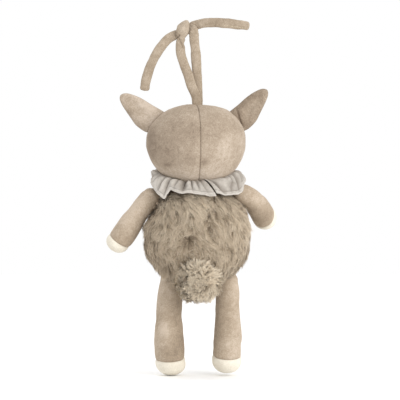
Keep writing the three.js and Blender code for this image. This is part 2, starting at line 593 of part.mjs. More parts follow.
// The comb: eighteen tuned tines whose tips stand just off the pins.
const comb = { left: -15.5, right: 5.5, back: -6.5, front: -7.3, tip: cylinderAxis.z, neck: -196,
  foot: -203 };
function combShape() {
  const shape = new THREE.Shape();
  const tines = 18;
  const step = (comb.right - comb.left) / tines;
  shape.moveTo(comb.left, comb.foot);
  shape.lineTo(comb.right, comb.foot);
  shape.lineTo(comb.right, comb.neck);
  for (let i = tines - 1; i >= 0; i--) {
    const x = comb.left + i * step;
    const root = comb.neck + (i % 2 ? 0 : 0.3);
    shape.lineTo(x + 0.9 * step, root);
    shape.lineTo(x + 0.85 * step, comb.tip);
    shape.lineTo(x + 0.15 * step, comb.tip);
    shape.lineTo(x + 0.1 * step, root);
  }
  shape.lineTo(comb.left, comb.neck);
  shape.closePath();
  const thick = comb.back - comb.front;
  return new THREE.ExtrudeGeometry(shape, { depth: thick, bevelEnabled: false })
    .rotateX(Math.PI / 2).translate(0, comb.back, 0);
}
place(body, 'comb', cut(combShape(), ...combScrewX.map(screwHole)), 'steel');
const bridgeBack = comb.front - GAP;
const bridge = block([comb.left, CHASSIS.plateBack + GAP, comb.foot], [comb.right, bridgeBack, comb.neck]);
place(body, 'comb_bridge', cut(bridge, ...combScrewX.map(screwHole)), 'brass');
combScrewX.forEach((x, i) => {
  const screw = turned([[0, 0], [1.7, 0], [1.7, 0.6], [0.8, 0.6], [0.8, 3.7], [0, 3.7]], 12)
    .rotateX(Math.PI / 2).translate(x, comb.back + GAP + 0.6, combScrewZ);
  place(body, `comb_screw_${i + 1}`, screw, 'steel');
});

export default toy;
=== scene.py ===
"""A plush fawn that hangs by two ties, seen from behind: velour head and limbs, a long-haired fur body, a
fluffy tail on a pull cord and a gathered muslin collar. Metres, +Z up, the fawn faces -Y."""

import math
from collections import namedtuple

import bpy
import numpy as np
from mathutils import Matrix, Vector


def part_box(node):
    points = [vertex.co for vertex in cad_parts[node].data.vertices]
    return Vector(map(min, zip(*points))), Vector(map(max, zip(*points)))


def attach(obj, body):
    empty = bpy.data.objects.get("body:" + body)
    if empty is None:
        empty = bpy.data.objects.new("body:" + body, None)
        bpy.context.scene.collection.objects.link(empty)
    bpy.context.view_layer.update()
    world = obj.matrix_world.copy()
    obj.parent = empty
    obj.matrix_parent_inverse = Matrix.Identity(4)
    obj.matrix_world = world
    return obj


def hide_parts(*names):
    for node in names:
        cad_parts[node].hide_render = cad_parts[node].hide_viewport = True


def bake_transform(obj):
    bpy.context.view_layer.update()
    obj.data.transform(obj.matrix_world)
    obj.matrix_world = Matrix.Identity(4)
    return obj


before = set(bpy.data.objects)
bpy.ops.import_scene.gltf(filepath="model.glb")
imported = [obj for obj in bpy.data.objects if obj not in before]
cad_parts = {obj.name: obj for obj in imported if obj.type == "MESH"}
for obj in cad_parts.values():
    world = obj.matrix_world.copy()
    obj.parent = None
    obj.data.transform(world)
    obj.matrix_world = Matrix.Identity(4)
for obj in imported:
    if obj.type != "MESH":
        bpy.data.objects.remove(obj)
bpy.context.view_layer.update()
MM = 0.001
# A soft ball's middle, its radii across, deep, up and down, and how boxy it is (2 is round).
Ball = namedtuple("Ball", "centre rx ry up down boxy")
# A coat's hair: how many tufts, how many hairs to a tuft, their length, rise, width and spread in metres,
# how much they draw in towards the tuft's line (0 to 1), and how far they fan out and their tufts scatter.
Hair = namedtuple("Hair", "tufts count length rise width spread gather fan scatter")
Ear = namedtuple("Ear", "root rise width hollow")


# ---------------- places taken from the frame


def box_of(*nodes):
    """The lowest and highest corner of the box round some CAD nodes."""
    boxes = [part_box(n) for n in nodes]
    low = np.min([list(b[0]) for b in boxes], axis=0)
    high = np.max([list(b[1]) for b in boxes], axis=0)
    return low, high


def centre(node):
    low, high = box_of(node)
    return (low + high) / 2


HEAD_LOW, HEAD_HIGH = box_of("head_back_left", "head_back_right", "face_panel")
HEAD_SPLIT_Z = HEAD_LOW[2] + 44 * MM
HEAD_AXIS_X = (HEAD_LOW[0] + HEAD_HIGH[0]) / 2
TORSO_LOW, TORSO_HIGH = box_of("torso_fur_back", "torso_fur_front")
NECK_X = centre("neck_band")[0]
SOLE_Z = box_of("leg_left_foot", "leg_right_foot")[0][2]


# ---------------- short helpers for shapes


def unit(v):
    return v / np.maximum(np.linalg.norm(v, axis=-1, keepdims=True), 1e-12)


def bell(x, width, power=2):
    """1 where x is 0, fading away at about width on either side."""
    return np.exp(-np.abs(x / width) ** power)


def ease(x):
    """0 to 1, with a soft start and end."""
    x = np.clip(x, 0, 1)
    return x * x * (3 - 2 * x)


def lumps(points, size, seed, octaves=3):
    """Smooth noise of about -1 to 1 at each point; size is the largest lumps' width in millimetres."""
    rng = np.random.default_rng(seed)
    flat = np.asarray(points, float).reshape(-1, 3)
    total, weight = np.zeros(len(flat)), 1.0
    for _ in range(octaves):
        directions = rng.normal(size=(3, 8))
        directions *= math.pi / (size * MM) / np.linalg.norm(directions, axis=0)
        total += weight * np.sin(flat @ directions + rng.uniform(0, 2 * math.pi, 8)).sum(1) / 3
        size, weight = size * 0.52, weight * 0.5
    return total.reshape(np.asarray(points).shape[:-1])


def along_of(line):
    """How far along a line each of its points is."""
    return np.concatenate([[0], np.cumsum(np.linalg.norm(np.diff(line, axis=0), axis=1))])


def track_at(x, stations, track):
    """Each column of track, read at x; stations are where its rows are."""
    return np.stack([np.interp(x, stations, column) for column in track.T], -1)


def smooth_path(points, count):
    """count points at even steps along a centripetal Catmull-Rom curve through the given points."""
    p = np.array(points, float)
    p = np.vstack([2 * p[0] - p[1], p, 2 * p[-1] - p[-2]])
    fine = []
    for a, b, c, d in zip(p[:-3], p[1:-2], p[2:-1], p[3:]):
        steps = np.cumsum([0, *(np.linalg.norm(y - x) ** 0.5 for x, y in ((a, b), (b, c), (c, d)))])
        t = np.linspace(steps[1], steps[2], 24, endpoint=False)[:, None]

        def between(x, y, i, j):
            return x + (y - x) * (t - steps[i]) / (steps[j] - steps[i])

        ab, bc, cd = between(a, b, 0, 1), between(b, c, 1, 2), between(c, d, 2, 3)
        fine.append(between(between(ab, bc, 0, 2), between(bc, cd, 1, 3), 1, 2))
    line = np.vstack([*fine, p[-2][None]])
    along = along_of(line)
    return track_at(np.linspace(0, along[-1], count), along, line)


def around_turn(count):
    """Angles at even steps round a full turn."""
    return np.linspace(0, 2 * math.pi, count, endpoint=False)


def tube_rings(line, radius, around, hint=(0, 1, 0.3)):
    """A round tube's rings along a line; hint is any direction that the line doesn't take."""
    tangent = unit(np.gradient(line, axis=0))
    side = unit(np.cross(tangent, np.array(hint)))
    up = np.cross(side, tangent)
    turn = around_turn(around)
    radius = np.broadcast_to(radius, len(line))[:, None, None]
    circle = np.cos(turn)[None, :, None] * side[:, None] + np.sin(turn)[None, :, None] * up[:, None]
    return line[:, None] + radius * circle


def radii_at(q, size):
    across = np.full(q.shape[:-1], size.rx)
    deep = np.full(q.shape[:-1], size.ry)
    return np.stack([across, deep, np.where(q[..., 2] > 0, size.up, size.down)], -1)


def blob(d, size):
    """Points of a soft ball in the directions d; size has centre, radii (x, y, up, down) and boxy."""
    power = size.boxy
    fill = (np.abs(d) ** power).sum(-1, keepdims=True) ** (-1 / power)
    return size.centre + d * fill * radii_at(d, size)


def blob_normal(p, size):
    q = p - size.centre
    radii = radii_at(q, size)
    s = q / radii
    return unit(np.sign(s) * np.abs(s) ** (size.boxy - 1) / radii)


def polar(azimuth, tilt):
    """Unit directions: azimuth from +Y towards +X, tilt down from +Z."""
    return np.stack([np.sin(tilt) * np.sin(azimuth), np.sin(tilt) * np.cos(azimuth), np.cos(tilt)], -1)


def ball_grid(turns, rows, margin=0.02):
    """Azimuth and tilt of a ball's points, in rows that stop just short of its poles."""
    return np.meshgrid(turns, np.linspace(margin, math.pi - margin, rows))


def packed(count, tightness=0.125):
    """0 to 1 in count steps that are finer at both ends."""
    c = np.linspace(0, 1, count)
    return c - tightness * np.sin(2 * math.pi * c)


# ---------------- objects and meshes


def add_object(name, data, place=(0, 0, 0)):
    obj = bpy.data.objects.new(name, data)
    obj.location = place
    bpy.context.scene.collection.objects.link(obj)
    return obj


def mesh_object(name, points, faces):
    mesh = bpy.data.meshes.new(name)
    mesh.from_pydata(np.asarray(points, float).tolist(), [], [list(map(int, f)) for f in faces])
    mesh.update()
    mesh.polygons.foreach_set("use_smooth", [True] * len(mesh.polygons))
    return add_object(name, mesh)


def quads(rows, columns, wrap=False, base=0):
    """Corner numbers of the quads of a grid, row by row; wrap joins the last column to the first."""
    r, c = np.meshgrid(np.arange(rows - 1), np.arange(columns if wrap else columns - 1), indexing="ij")
    d = (c + 1) % columns
    corners = [r * columns + c, r * columns + d, (r + 1) * columns + d, (r + 1) * columns + c]
    return np.stack(corners, -1).reshape(-1, 4) + base


def grid_object(name, points, wrap=False, flip=False, caps=()):
    """A smooth mesh through a (rows, columns, 3) array. caps closes the first (0) or last (-1) row."""
    rows, columns = points.shape[:2]
    faces = quads(rows, columns, wrap).tolist()
    for cap in caps:
        ring = list(range(columns)) if cap == 0 else list(range((rows - 1) * columns, rows * columns))
        faces.append(ring[::-1] if cap == 0 else ring)
    if flip:
        faces = [f[::-1] for f in faces]
    return mesh_object(name, points.reshape(-1, 3), faces)


def tubes_object(name, tubes):
    """One mesh of several short tubes, each given by its rings."""
    points, faces = [], []
    for rings in tubes:
        faces += quads(*rings.shape[:2], True, len(points)).tolist()
        points += rings.reshape(-1, 3).tolist()
    return mesh_object(name, points, faces)


def ball_object(name, size, rows, columns, relief):
    """A closed soft ball; relief says how far each point stands out."""
    points = blob(polar(*ball_grid(around_turn(columns), rows)), size)
    points = points + blob_normal(points, size) * relief(points)[..., None]
    return grid_object(name, points, wrap=True, flip=True, caps=(0, -1))


def thicken(obj, thickness):
    """Make a single layer of cloth into a solid one."""
    solidify = obj.modifiers.new("cloth", "SOLIDIFY")
    solidify.thickness = thickness
    solidify.offset = 0
    evaluated = obj.evaluated_get(bpy.context.evaluated_depsgraph_get())
    mesh = bpy.data.meshes.new_from_object(evaluated)
    obj.modifiers.clear()
    obj.data = mesh


def paint(obj, *materials):
    obj.data.materials.clear()
    for m in materials:
        obj.data.materials.append(m)


def give(obj, **numbers):
    """Numbers for each vertex, or one for all of them, which the materials read by name."""
    for name, values in numbers.items():
        attribute = obj.data.attributes.new(name, "FLOAT", "POINT")
        values = np.asarray(values, np.float32).ravel()
        attribute.data.foreach_set("value", np.array(np.broadcast_to(values, len(obj.data.vertices))))


def place_piece(obj, body, slot, nodes=None, fill=None):
    """Attach a piece to the body it rides on and hide the CAD nodes it stands for. The slot is not used. How
    firmly it's filled (fill) is not used.
    """
    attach(obj, body)
    if nodes is not None:
        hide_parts(*nodes)


def dress(obj, material, *place):
    """Paint a piece and place it."""
    paint(obj, material)
    place_piece(obj, *place)


# ---------------- materials


def srgb(*values):
    v = np.array(values, float) / 255
    linear = np.where(v <= 0.04045, v / 12.92, ((v + 0.055) / 1.055) ** 2.4)
    return (*linear.tolist(), 1.0)


class Shader:
    """A Principled material with a few short ways to add nodes to it. Colours are sRGB, 0 to 255."""

    def __init__(self, name, roughness, **sockets):
        self.material = bpy.data.materials.new(name)
        self.material.use_nodes = True
        self.nodes = self.material.node_tree.nodes
        self.links = self.material.node_tree.links
        self.out = self.nodes["Principled BSDF"].inputs
        self.out["Roughness"].default_value = roughness
        for socket, value in sockets.items():
            self.out[socket.replace("_", " ")].default_value = value
        self.place = self.add("TexCoord", "Object", {})

    def add(self, kind, output, inputs, **settings):
        """A new node's output. Each input is a value or the output of another node."""
        node = self.nodes.new("ShaderNode" + kind)
        for setting, value in settings.items():
            setattr(node, setting, value)
        for socket, value in inputs.items():
            if isinstance(value, bpy.types.NodeSocket):
                self.links.new(value, node.inputs[socket])
            else:
                node.inputs[socket].default_value = value
        return node.outputs[output]

    def noise(self, scale, detail=2.0, roughness=0.5, distortion=0.0):
        return self.add("TexNoise", "Fac", {"Scale": scale, "Detail": detail, "Roughness": roughness,
                                            "Distortion": distortion, "Vector": self.place})

    def wave(self, scale, direction, distortion):
        return self.add("TexWave", "Fac", {"Scale": scale, "Distortion": distortion, "Detail Scale": 2.0,
                                           "Vector": self.place}, bands_direction=direction)

    def attribute(self, name):
        return self.add("Attribute", "Fac", {}, attribute_name=name)

    def total(self, *terms):
        """The sum of (value, weight) pairs."""
        result = 0.0
        for value, weight in terms:
            weighted = self.add("Math", 0, {0: value, 1: weight}, operation="MULTIPLY")
            result = self.add("Math", 0, {0: weighted, 1: result}, operation="ADD")
        return result

    def ramp(self, factor, *stops):
        colour = self.add("ValToRGB", "Color", {"Fac": factor})
        elements = colour.node.color_ramp.elements
        while len(elements) < len(stops):
            elements.new(0.5)
        for element, (position, value) in zip(elements, stops):
            element.position = position
            element.color = srgb(*value)
        return colour

    def mix(self, factor, a, b):
        return self.add("Mix", 2, {0: factor, 6: a, 7: srgb(*b)}, data_type="RGBA", blend_type="MIX")

    def colour(self, value):
        self.links.new(value, self.out["Base Color"])

    def bump(self, height, distance, strength=1.0):
        normal = self.add("Bump", "Normal", {"Distance": distance, "Strength": strength, "Height": height})
        self.links.new(normal, self.out["Normal"])


def velour(name, dark, middle, light, seam_colour=(104, 88, 74), sheen=0.5):
    """Short brushed pile: cloudy patches where the nap leans, a fine grain, and dark sewn seams. The
    nap attribute makes a place lighter or darker, for the nap and also as painted light and shade; the seam
    attribute darkens the sewn seams and also paints shade into creases."""
    s = Shader(name, 0.92, Sheen_Weight=sheen, Sheen_Roughness=0.38, Specular_IOR_Level=0.1,
               Sheen_Tint=srgb(*light))
    clouds = s.noise(45, 2.0, 0.5, 0.3)
    strokes = s.noise(230, 3.0, 0.65, 0.8)
    grain = s.noise(1000, 2.0, 0.7)
    nap = s.total((clouds, 0.22), (strokes, 0.33), (grain, 0.45), (s.attribute("nap"), 0.3))
    cloth = s.ramp(nap, (0.3, dark), (0.5, middle), (0.7, light))
    s.colour(s.mix(s.attribute("seam"), cloth, seam_colour))
    s.bump(s.total((grain, 0.6), (strokes, 0.5)), 0.5 * MM, 0.55)
    return s.material


def muslin():
    """Crinkled washed cotton: a plain weave with thicker threads here and there, lighter on its hem."""
    s = Shader("muslin", 0.9, Sheen_Weight=0.15, Sheen_Roughness=0.5, Specular_IOR_Level=0.2)
    weave = s.total((s.wave(700, "X", 1.5), 1.0), (s.wave(700, "Z", 1.5), 1.0))
    crinkle = s.noise(260, 4.0, 0.6, 0.8)
    patch = s.noise(60, 2.0)
    tone = s.total((patch, 0.5), (crinkle, 0.35), (weave, 0.075), (s.attribute("nap"), 0.3))
    cloth = s.ramp(tone, (0.34, (158, 150, 141)), (0.5, (180, 173, 164)), (0.66, (203, 197, 189)))
    s.colour(s.mix(s.attribute("seam"), cloth, (112, 103, 95)))
    s.bump(s.total((weave, 0.35), (crinkle, 1.0)), 0.6 * MM, 0.6)
    return s.material


def long_fur(name, root, middle, tip):
    """Faux fur hair: darker at the root, lighter at the tip, with a tone of its own for each hair."""
    s = Shader(name, 0.85, Sheen_Weight=0.2, Sheen_Roughness=0.5, Specular_IOR_Level=0.15)
    shade = s.total((s.attribute("along"), 0.62), (s.attribute("tone"), 0.5))
    s.colour(s.ramp(shade, (0.12, root), (0.55, middle), (1.0, tip)))
    return s.material


def backing(name, dark, light):
    """The dense under-fur between the long hairs."""
    s = Shader(name, 1.0, Sheen_Weight=0.1, Specular_IOR_Level=0.1)
    s.colour(s.ramp(s.noise(700, 3.0, 0.7), (0.35, dark), (0.65, light)))
    s.bump(s.noise(900, 3.0), 1.0 * MM)
    return s.material


def thread(name, dark, light, pitch=900):
    s = Shader(name, 0.6, Sheen_Weight=0.2, Specular_IOR_Level=0.4)
    strands = s.wave(pitch, "DIAGONAL", 0.6)
    s.colour(s.ramp(strands, (0.2, dark), (0.8, light)))
    s.bump(strands, 0.2 * MM)
    return s.material


def metal(name, dark, light, roughness):
    s = Shader(name, roughness, Metallic=1.0)
    brushed = s.noise(500, 4.0, 0.6)
    s.colour(s.ramp(brushed, (0.35, dark), (0.65, light)))
    s.links.new(s.total((brushed, 0.25), (1.0, roughness - 0.12)), s.out["Roughness"])
    s.bump(brushed, 0.05 * MM, 0.4)
    return s.material


def plastic():
    s = Shader("moulded_plastic", 0.45, Specular_IOR_Level=0.5)
    s.colour(s.ramp(s.noise(90, 2.0), (0.3, (226, 226, 220)), (0.7, (238, 238, 233))))
    s.bump(s.noise(1600, 2.0), 0.04 * MM, 0.5)
    return s.material


def plain_floor():
    s = Shader("floor_paper", 0.95, Specular_IOR_Level=0.0)
    s.colour(s.ramp(s.noise(3, 1.0), (0.3, (253, 253, 253)), (0.7, (255, 255, 255))))
    return s.material


HEAD_VELOUR = velour("velour_head", (130, 115, 100), (161, 146, 129), (191, 177, 162))
LIMB_VELOUR = velour("velour_limb", (134, 119, 102), (163, 147, 128), (191, 176, 159))
TIE_VELOUR = velour("velour_tie", (130, 115, 98), (158, 143, 125), (184, 170, 153))
CREAM = velour("cream_plush", (206, 197, 181), (221, 214, 199), (232, 226, 214), (184, 172, 155), 0.2)
LINING = velour("cream_lining", (196, 185, 168), (212, 202, 187), (224, 216, 203), (168, 154, 138), 0.2)
MUSLIN = muslin()
TORSO_HAIR = long_fur("fur_torso", (106, 91, 73), (184, 166, 143), (226, 212, 190))
TAIL_HAIR = long_fur("fur_tail", (110, 94, 75), (200, 183, 159), (236, 224, 203))
FUR_BACKING = backing("fur_backing", (120, 105, 88), (148, 132, 113))
EMBROIDERY = thread("embroidery", (66, 50, 42), (98, 78, 66))
SEAM_THREAD = thread("seam_thread", (128, 112, 95), (176, 160, 141))
TIE_THREAD = thread("tie_thread", (190, 174, 146), (236, 222, 192))
CORD_THREAD = thread("cord_braid", (205, 196, 180), (232, 224, 210), 1400)
BRASS = metal("brass", (176, 138, 62), (214, 178, 98), 0.32)
STEEL = metal("steel", (150, 153, 156), (196, 199, 202), 0.3)
PLASTIC = plastic()


# ---------------- camera, light and floor


def look_at(obj, target):
    direction = np.array(target) - np.array(obj.location)
    obj.rotation_mode = "QUATERNION"
    obj.rotation_quaternion = Vector(direction).to_track_quat("-Z", "Y")


def add_camera():
    data = bpy.data.cameras.new("camera")
    distance, seen_width = 2.6, 0.4
    elevation = math.radians(2.0)
    target = np.array([-0.011, 0.0, -0.158])
    place = target + distance * np.array([0, math.cos(elevation), math.sin(elevation)])
    camera = add_object("camera", data, place)
    data.lens = data.sensor_width * distance / seen_width
    data.clip_start, data.clip_end = 0.1, 20
    look_at(camera, target)
    bpy.context.scene.camera = camera


def add_area_light(name, place, size, power, colour):
    data = bpy.data.lights.new(name, "AREA")
    data.size, data.energy, data.color = size, power, colour
    look_at(add_object(name, data, place), (-0.01, 0.0, -0.16))


def add_studio():
    """White surroundings, a soft key light from the upper right and a floor of white paper."""
    world = bpy.data.worlds.new("studio")
    world.use_nodes = True
    background = world.node_tree.nodes["Background"].inputs
    background["Color"].default_value = (1.0, 1.0, 1.0, 1)
    background["Strength"].default_value = 1.0
    bpy.context.scene.world = world
    add_area_light("key", (-1.4, 1.6, 0.5), 1.4, 27, (1.0, 0.985, 0.96))
    add_area_light("top", (0.3, -0.3, 1.5), 1.2, 5, (1.0, 1.0, 1.0))
    bpy.context.scene.view_settings.view_transform = "Standard"
    radius, sides = 1.6, 96
    turn = around_turn(sides)
    rim = np.stack([radius * np.cos(turn), radius * np.sin(turn), 0 * turn], 1)
    wedges = [(0, i + 1, (i + 1) % sides + 1) for i in range(sides)]
    floor = mesh_object("studio_floor", np.vstack([[0, 0, 0], rim]), wedges)
    floor.location.z = SOLE_Z - 0.3 * MM
    paint(floor, plain_floor())


# ---------------- head

HEAD = Ball(
    centre=np.array([HEAD_AXIS_X, 0.0, HEAD_SPLIT_Z]),
    rx=(HEAD_HIGH[0] - HEAD_LOW[0]) / 2 + 0.6 * MM,
    ry=(HEAD_HIGH[1] - HEAD_LOW[1]) / 2,
    up=HEAD_HIGH[2] - HEAD_SPLIT_Z + 0.3 * MM,
    down=HEAD_SPLIT_Z - HEAD_LOW[2],
    boxy=2.15,
)
# The head's rough radius, which makes distances of angles, and where its seams run round from the back.
HEAD_RADIUS = 46 * MM
BACK_SEAM = math.radians(-5.5)
SIDE_SEAM = math.radians(98)
# Where the head's nap leans, with painted shade down its left edge and painted highlights at its right edge
# and
# lower rim: across and height from the head's middle, reach each way, in millimetres, and how much lighter it
# looks.
HEAD_NAP_AND_LIGHT = [
    (32, -4, 16, 20, -0.22), (46, 4, 7, 26, -0.4), (12, 10, 18, 14, -0.16), (-26, -14, 20, 22, 0.14),
    (-46, 0, 5, 24, 0.16), (0, -36, 34, 11, 0.42), (29, -22, 5, 2.5, -0.6), (-8, -19, 4, 3, -0.5),
    (20, 27, 20, 7, 0.2), (-18, 20, 16, 10, -0.16), (38, 18, 8, 8, 0.2), (-4, -4, 10, 6, 0.14),
]


def head_surface(azimuth, tilt):
    """The stuffed head: soft lumps, and grooves with small puckers where the three panels are sewn."""
    p = blob(polar(azimuth, tilt), HEAD)
    height = 0.8 * MM * lumps(p, 34, 11, 2) + 0.18 * MM * lumps(p, 9, 12)
    crease = np.zeros(azimuth.shape)
    for seam in (BACK_SEAM, SIDE_SEAM, -SIDE_SEAM):
        gap = (azimuth - seam + math.pi) % (2 * math.pi) - math.pi
        across = gap * np.sin(tilt) * HEAD_RADIUS
        pucker = np.sin(tilt * 62 + 1.7 * np.sin(tilt * 9)) * bell(across, 2.6 * MM)
        groove = bell(across, 0.5 * MM, 1.4)
        height += 0.14 * MM * pucker - 0.8 * MM * groove - 0.45 * MM * bell(across, 3.6 * MM)
        crease = np.maximum(crease, groove * (0.75 + 0.25 * pucker))
    return p + blob_normal(p, HEAD) * height[..., None], crease


def head_nap_and_light(p):
    q = (p - HEAD.centre) / MM
    # Painted shade on the head's left side and painted light on its right side, over a cloudy nap.
    nap = 0.07 * lumps(p, 16, 14, 3) + np.where(q[..., 0] > 0, -0.03, 0.03)
    for x, z, wide, high, tone in HEAD_NAP_AND_LIGHT:
        nap = nap + tone * bell(q[..., 0] - x, wide) * bell(q[..., 2] - z, high)
    return nap


def head_panel(name, start, end, columns, *nodes):
    points, crease = head_surface(*ball_grid(start + (end - start) * packed(columns), 150))
    obj = grid_object(name, points, flip=True)
    give(obj, seam=0.45 * np.clip(crease, 0, 1), nap=head_nap_and_light(points))
    dress(obj, HEAD_VELOUR, "head", "velour", nodes, 0.9)


def build_head():
    """Three panels, and ladder stitches in the back seam's groove: thread bars, a little askew."""
    head_panel("head_velour_left", BACK_SEAM, SIDE_SEAM, 120, "head_back_left", "head_stuffing")
    head_panel("head_velour_right", -SIDE_SEAM, BACK_SEAM, 120, "head_back_right")
    head_panel("face_velour", SIDE_SEAM, 2 * math.pi - SIDE_SEAM, 150, "face_panel")
    rng = np.random.default_rng(5)
    step, bars = 0.012, []
    for tilt in np.linspace(0.30, 2.62, 34):
        ahead, behind = step * rng.uniform(0.7, 1.2, 2)
        turns = BACK_SEAM + np.array([-behind, 0, ahead])
        line, _ = head_surface(turns, tilt + np.array([-step, 0, step]))
        line = line + blob_normal(line[1], HEAD) * np.array([[0.1], [0.35], [0.1]]) * MM
        bars.append(tube_rings(smooth_path(line, 5), 0.15 * MM, 6))
    obj = tubes_object("head_seam_stitches", bars)
    dress(obj, SEAM_THREAD, "head", "embroidery")


# ---------------- ears

# An ear from its root (0) to its tip (1): half its width and how far its middle lies above the axis.
EAR_SHAPE = [
    (0, 9, 0), (0.1, 11.6, -0.8), (0.2, 13, -1.6), (0.3, 13.5, -2.5), (0.43, 13.1, -2.8), (0.62, 11.2, -1.4),
    (0.75, 9.3, -0.6), (0.86, 7.2, -0.2), (0.93, 5.3, 0), (0.975, 3.2, 0), (1, 0.6, 0),
]
EAR_LENGTH = 55.6 * MM
EAR_SUNK = 11 * MM
# Each ear's root in millimetres, rise in degrees, share of the width above, and hollow in millimetres.
EARS = {"left": Ear((32, -1, -79), 35, 1, 1.8), "right": Ear((-46, -1, -79), 44, 0.94, 2.8)}


def ear_nap_and_light(points, u, v, side):
    """Painted light and shade over a cloudy nap: the left ear lighter along its upper rim and darker along
    its lower one, the right ear darker, most at its upper side, but for a painted lit middle.
    """
    cloudy = 0.16 * lumps(points, 12, 24, 3)
    if side == "left":
        return cloudy + 0.3 + 0.3 * v * np.abs(v)
    return cloudy - 0.3 + 0.45 * bell(u - 0.55, 0.2) * bell(v + 0.15, 0.4) - 0.15 * np.clip(v, 0, 1)


def ear_skin(side, front):
    """An ear's velour back or, when front is true, its pale lining: a cupped leaf with a soft rim."""
    ear, sign = EARS[side], 1 if side == "left" else -1
    rise = math.radians(ear.rise)
    along = np.array([sign * math.cos(rise), 0, math.sin(rise)])
    across = np.array([-sign * math.sin(rise), 0, math.cos(rise)])
    u, v = np.meshgrid(packed(170, 0.11), np.linspace(-1, 1, 81), indexing="ij")
    station, half, sag = smooth_path(EAR_SHAPE, 300).T
    width = np.interp(u, station, half) * MM * ear.width
    rim = 1 - np.abs(v) ** 2.6
    tip_fade = np.sqrt(np.clip(1 - np.abs(2 * u - 1) ** 3, 0, 1))
    hollow = ear.hollow * MM * bell(v, 0.42) * np.sin(math.pi * u) ** 1.2
    puff = MM * rim ** 0.6 * tip_fade
    depth = (-1.6 * puff - 0.6 * hollow if front else 2.9 * puff - hollow)
    depth -= 5 * MM * (v * width / (14 * MM)) ** 2
    aside = v * width + np.interp(u, station, sag) * MM
    root = np.array(ear.root) * MM
    base = root + (u * EAR_LENGTH - EAR_SUNK)[..., None] * along + aside[..., None] * across
    depth += 0.5 * MM * lumps(base, 13, 21 + front) * rim
    crease = np.zeros(u.shape)
    if not front and side == "right":
        line = u - 0.275 - 0.11 * v
        fold = bell(line, 0.016, 1.6) * np.clip(1.35 - 0.7 * np.abs(v + 0.3), 0, 1)
        depth += 1.5 * MM / (1 + np.exp(np.clip(line / 0.006, -30, 30))) - 2.0 * MM * fold
        crease = 0.75 * fold
    points = base.copy()
    points[..., 1] += depth
    head_radii = np.array([HEAD.rx, HEAD.ry, HEAD.up])
    inner = np.linalg.norm((points - HEAD.centre) / head_radii, axis=-1)
    # Painted shade where the ear meets the head and in the right ear's fold, and a dark seam line round the
    # rim.
    crease = np.maximum(np.maximum(crease, 0.75 * bell(inner - 1.0, 0.022)), 0.35 * np.abs(v) ** 30)
    obj = grid_object(f"ear_{side}_{'pale_lining' if front else 'velour'}", points,
                      flip=(front == (side == "left")))
    give(obj, seam=crease, nap=ear_nap_and_light(points, u, v, side))
    dress(obj, LINING if front else HEAD_VELOUR, "head", "cream_plush" if front else "velour",
                [f"ear_{side}_{'lining' if front else 'back'}"], 0.3)


# ---------------- face


def size_of(node, grow=0.0, boxy=2.1):
    low, high = box_of(node)
    half = (high - low) / 2 + grow
    return Ball((low + high) / 2, *half, half[2], boxy)


def build_face():
    muzzle = size_of("muzzle", 0.2 * MM)
    middle = muzzle.centre[0]
    muzzle = muzzle._replace(centre=muzzle.centre + np.array([0, 4 * MM, 0]), ry=muzzle.ry + 3.5 * MM)
    soft = ball_object("muzzle_cream", muzzle, 60, 80, lambda p: 0.6 * MM * lumps(p, 14, 31)
                       - 1.1 * MM * bell(p[..., 0] - middle, 1.2 * MM))
    dress(soft, CREAM, "head", "cream_plush", ["muzzle"], 0.8)
    satin = ball_object("nose_satin_stitch", size_of("nose", 0.2 * MM, 2.4), 60, 120,
                        lambda p: 0.14 * MM * np.sin((p[..., 0]) / (0.11 * MM)))
    dress(satin, EMBROIDERY, "head", "embroidery", ["nose"])
    build_eye("left", 1)
    build_eye("right", -1)


def build_eye(side, sign):
    """A closed eye: a downward arc of back stitches with three lashes."""
    middle = centre(f"eye_{side}") + np.array([0, 0, 1.5 * MM])

    def arc(a):
        return np.stack([middle[0] + 5.4 * MM * np.cos(a), 0 * a, middle[2] + 4.2 * MM * np.sin(a)], -1)

    strokes = [arc(np.linspace(math.radians(200), math.radians(340), 15))]
    for lean in (0.1, 0.5, 0.9):
        a = np.array(math.radians(270) + sign * lean)
        away = np.array([math.cos(a) * 1.3, 0, math.sin(a)])
        strokes.append(arc(a) + np.linspace(0, 1, 6)[:, None] * away * 2.4 * MM)
    tubes = []
    for stroke in strokes:
        q = (stroke - HEAD.centre) / np.array([HEAD.rx, 1, HEAD.up])
        power = HEAD.boxy
        flat = np.clip(1 - np.abs(q[:, 0]) ** power - np.abs(q[:, 2]) ** power, 0.01, 1) ** (1 / power)
        stroke[:, 1] = HEAD.centre[1] - HEAD.ry * flat - 0.5 * MM
        radius = 0.45 * MM * np.sin(np.linspace(0.5, math.pi - 0.5, len(stroke)))
        tubes.append(tube_rings(stroke, radius, 8, (0, 1, 0.01)))
    obj = tubes_object(f"eye_{side}_stitched", tubes)
    dress(obj, EMBROIDERY, "head", "embroidery", [f"eye_{side}"])


# ---------------- ties

TIE_WIDTH, TIE_THICK = 9.6 * MM, 4.4 * MM
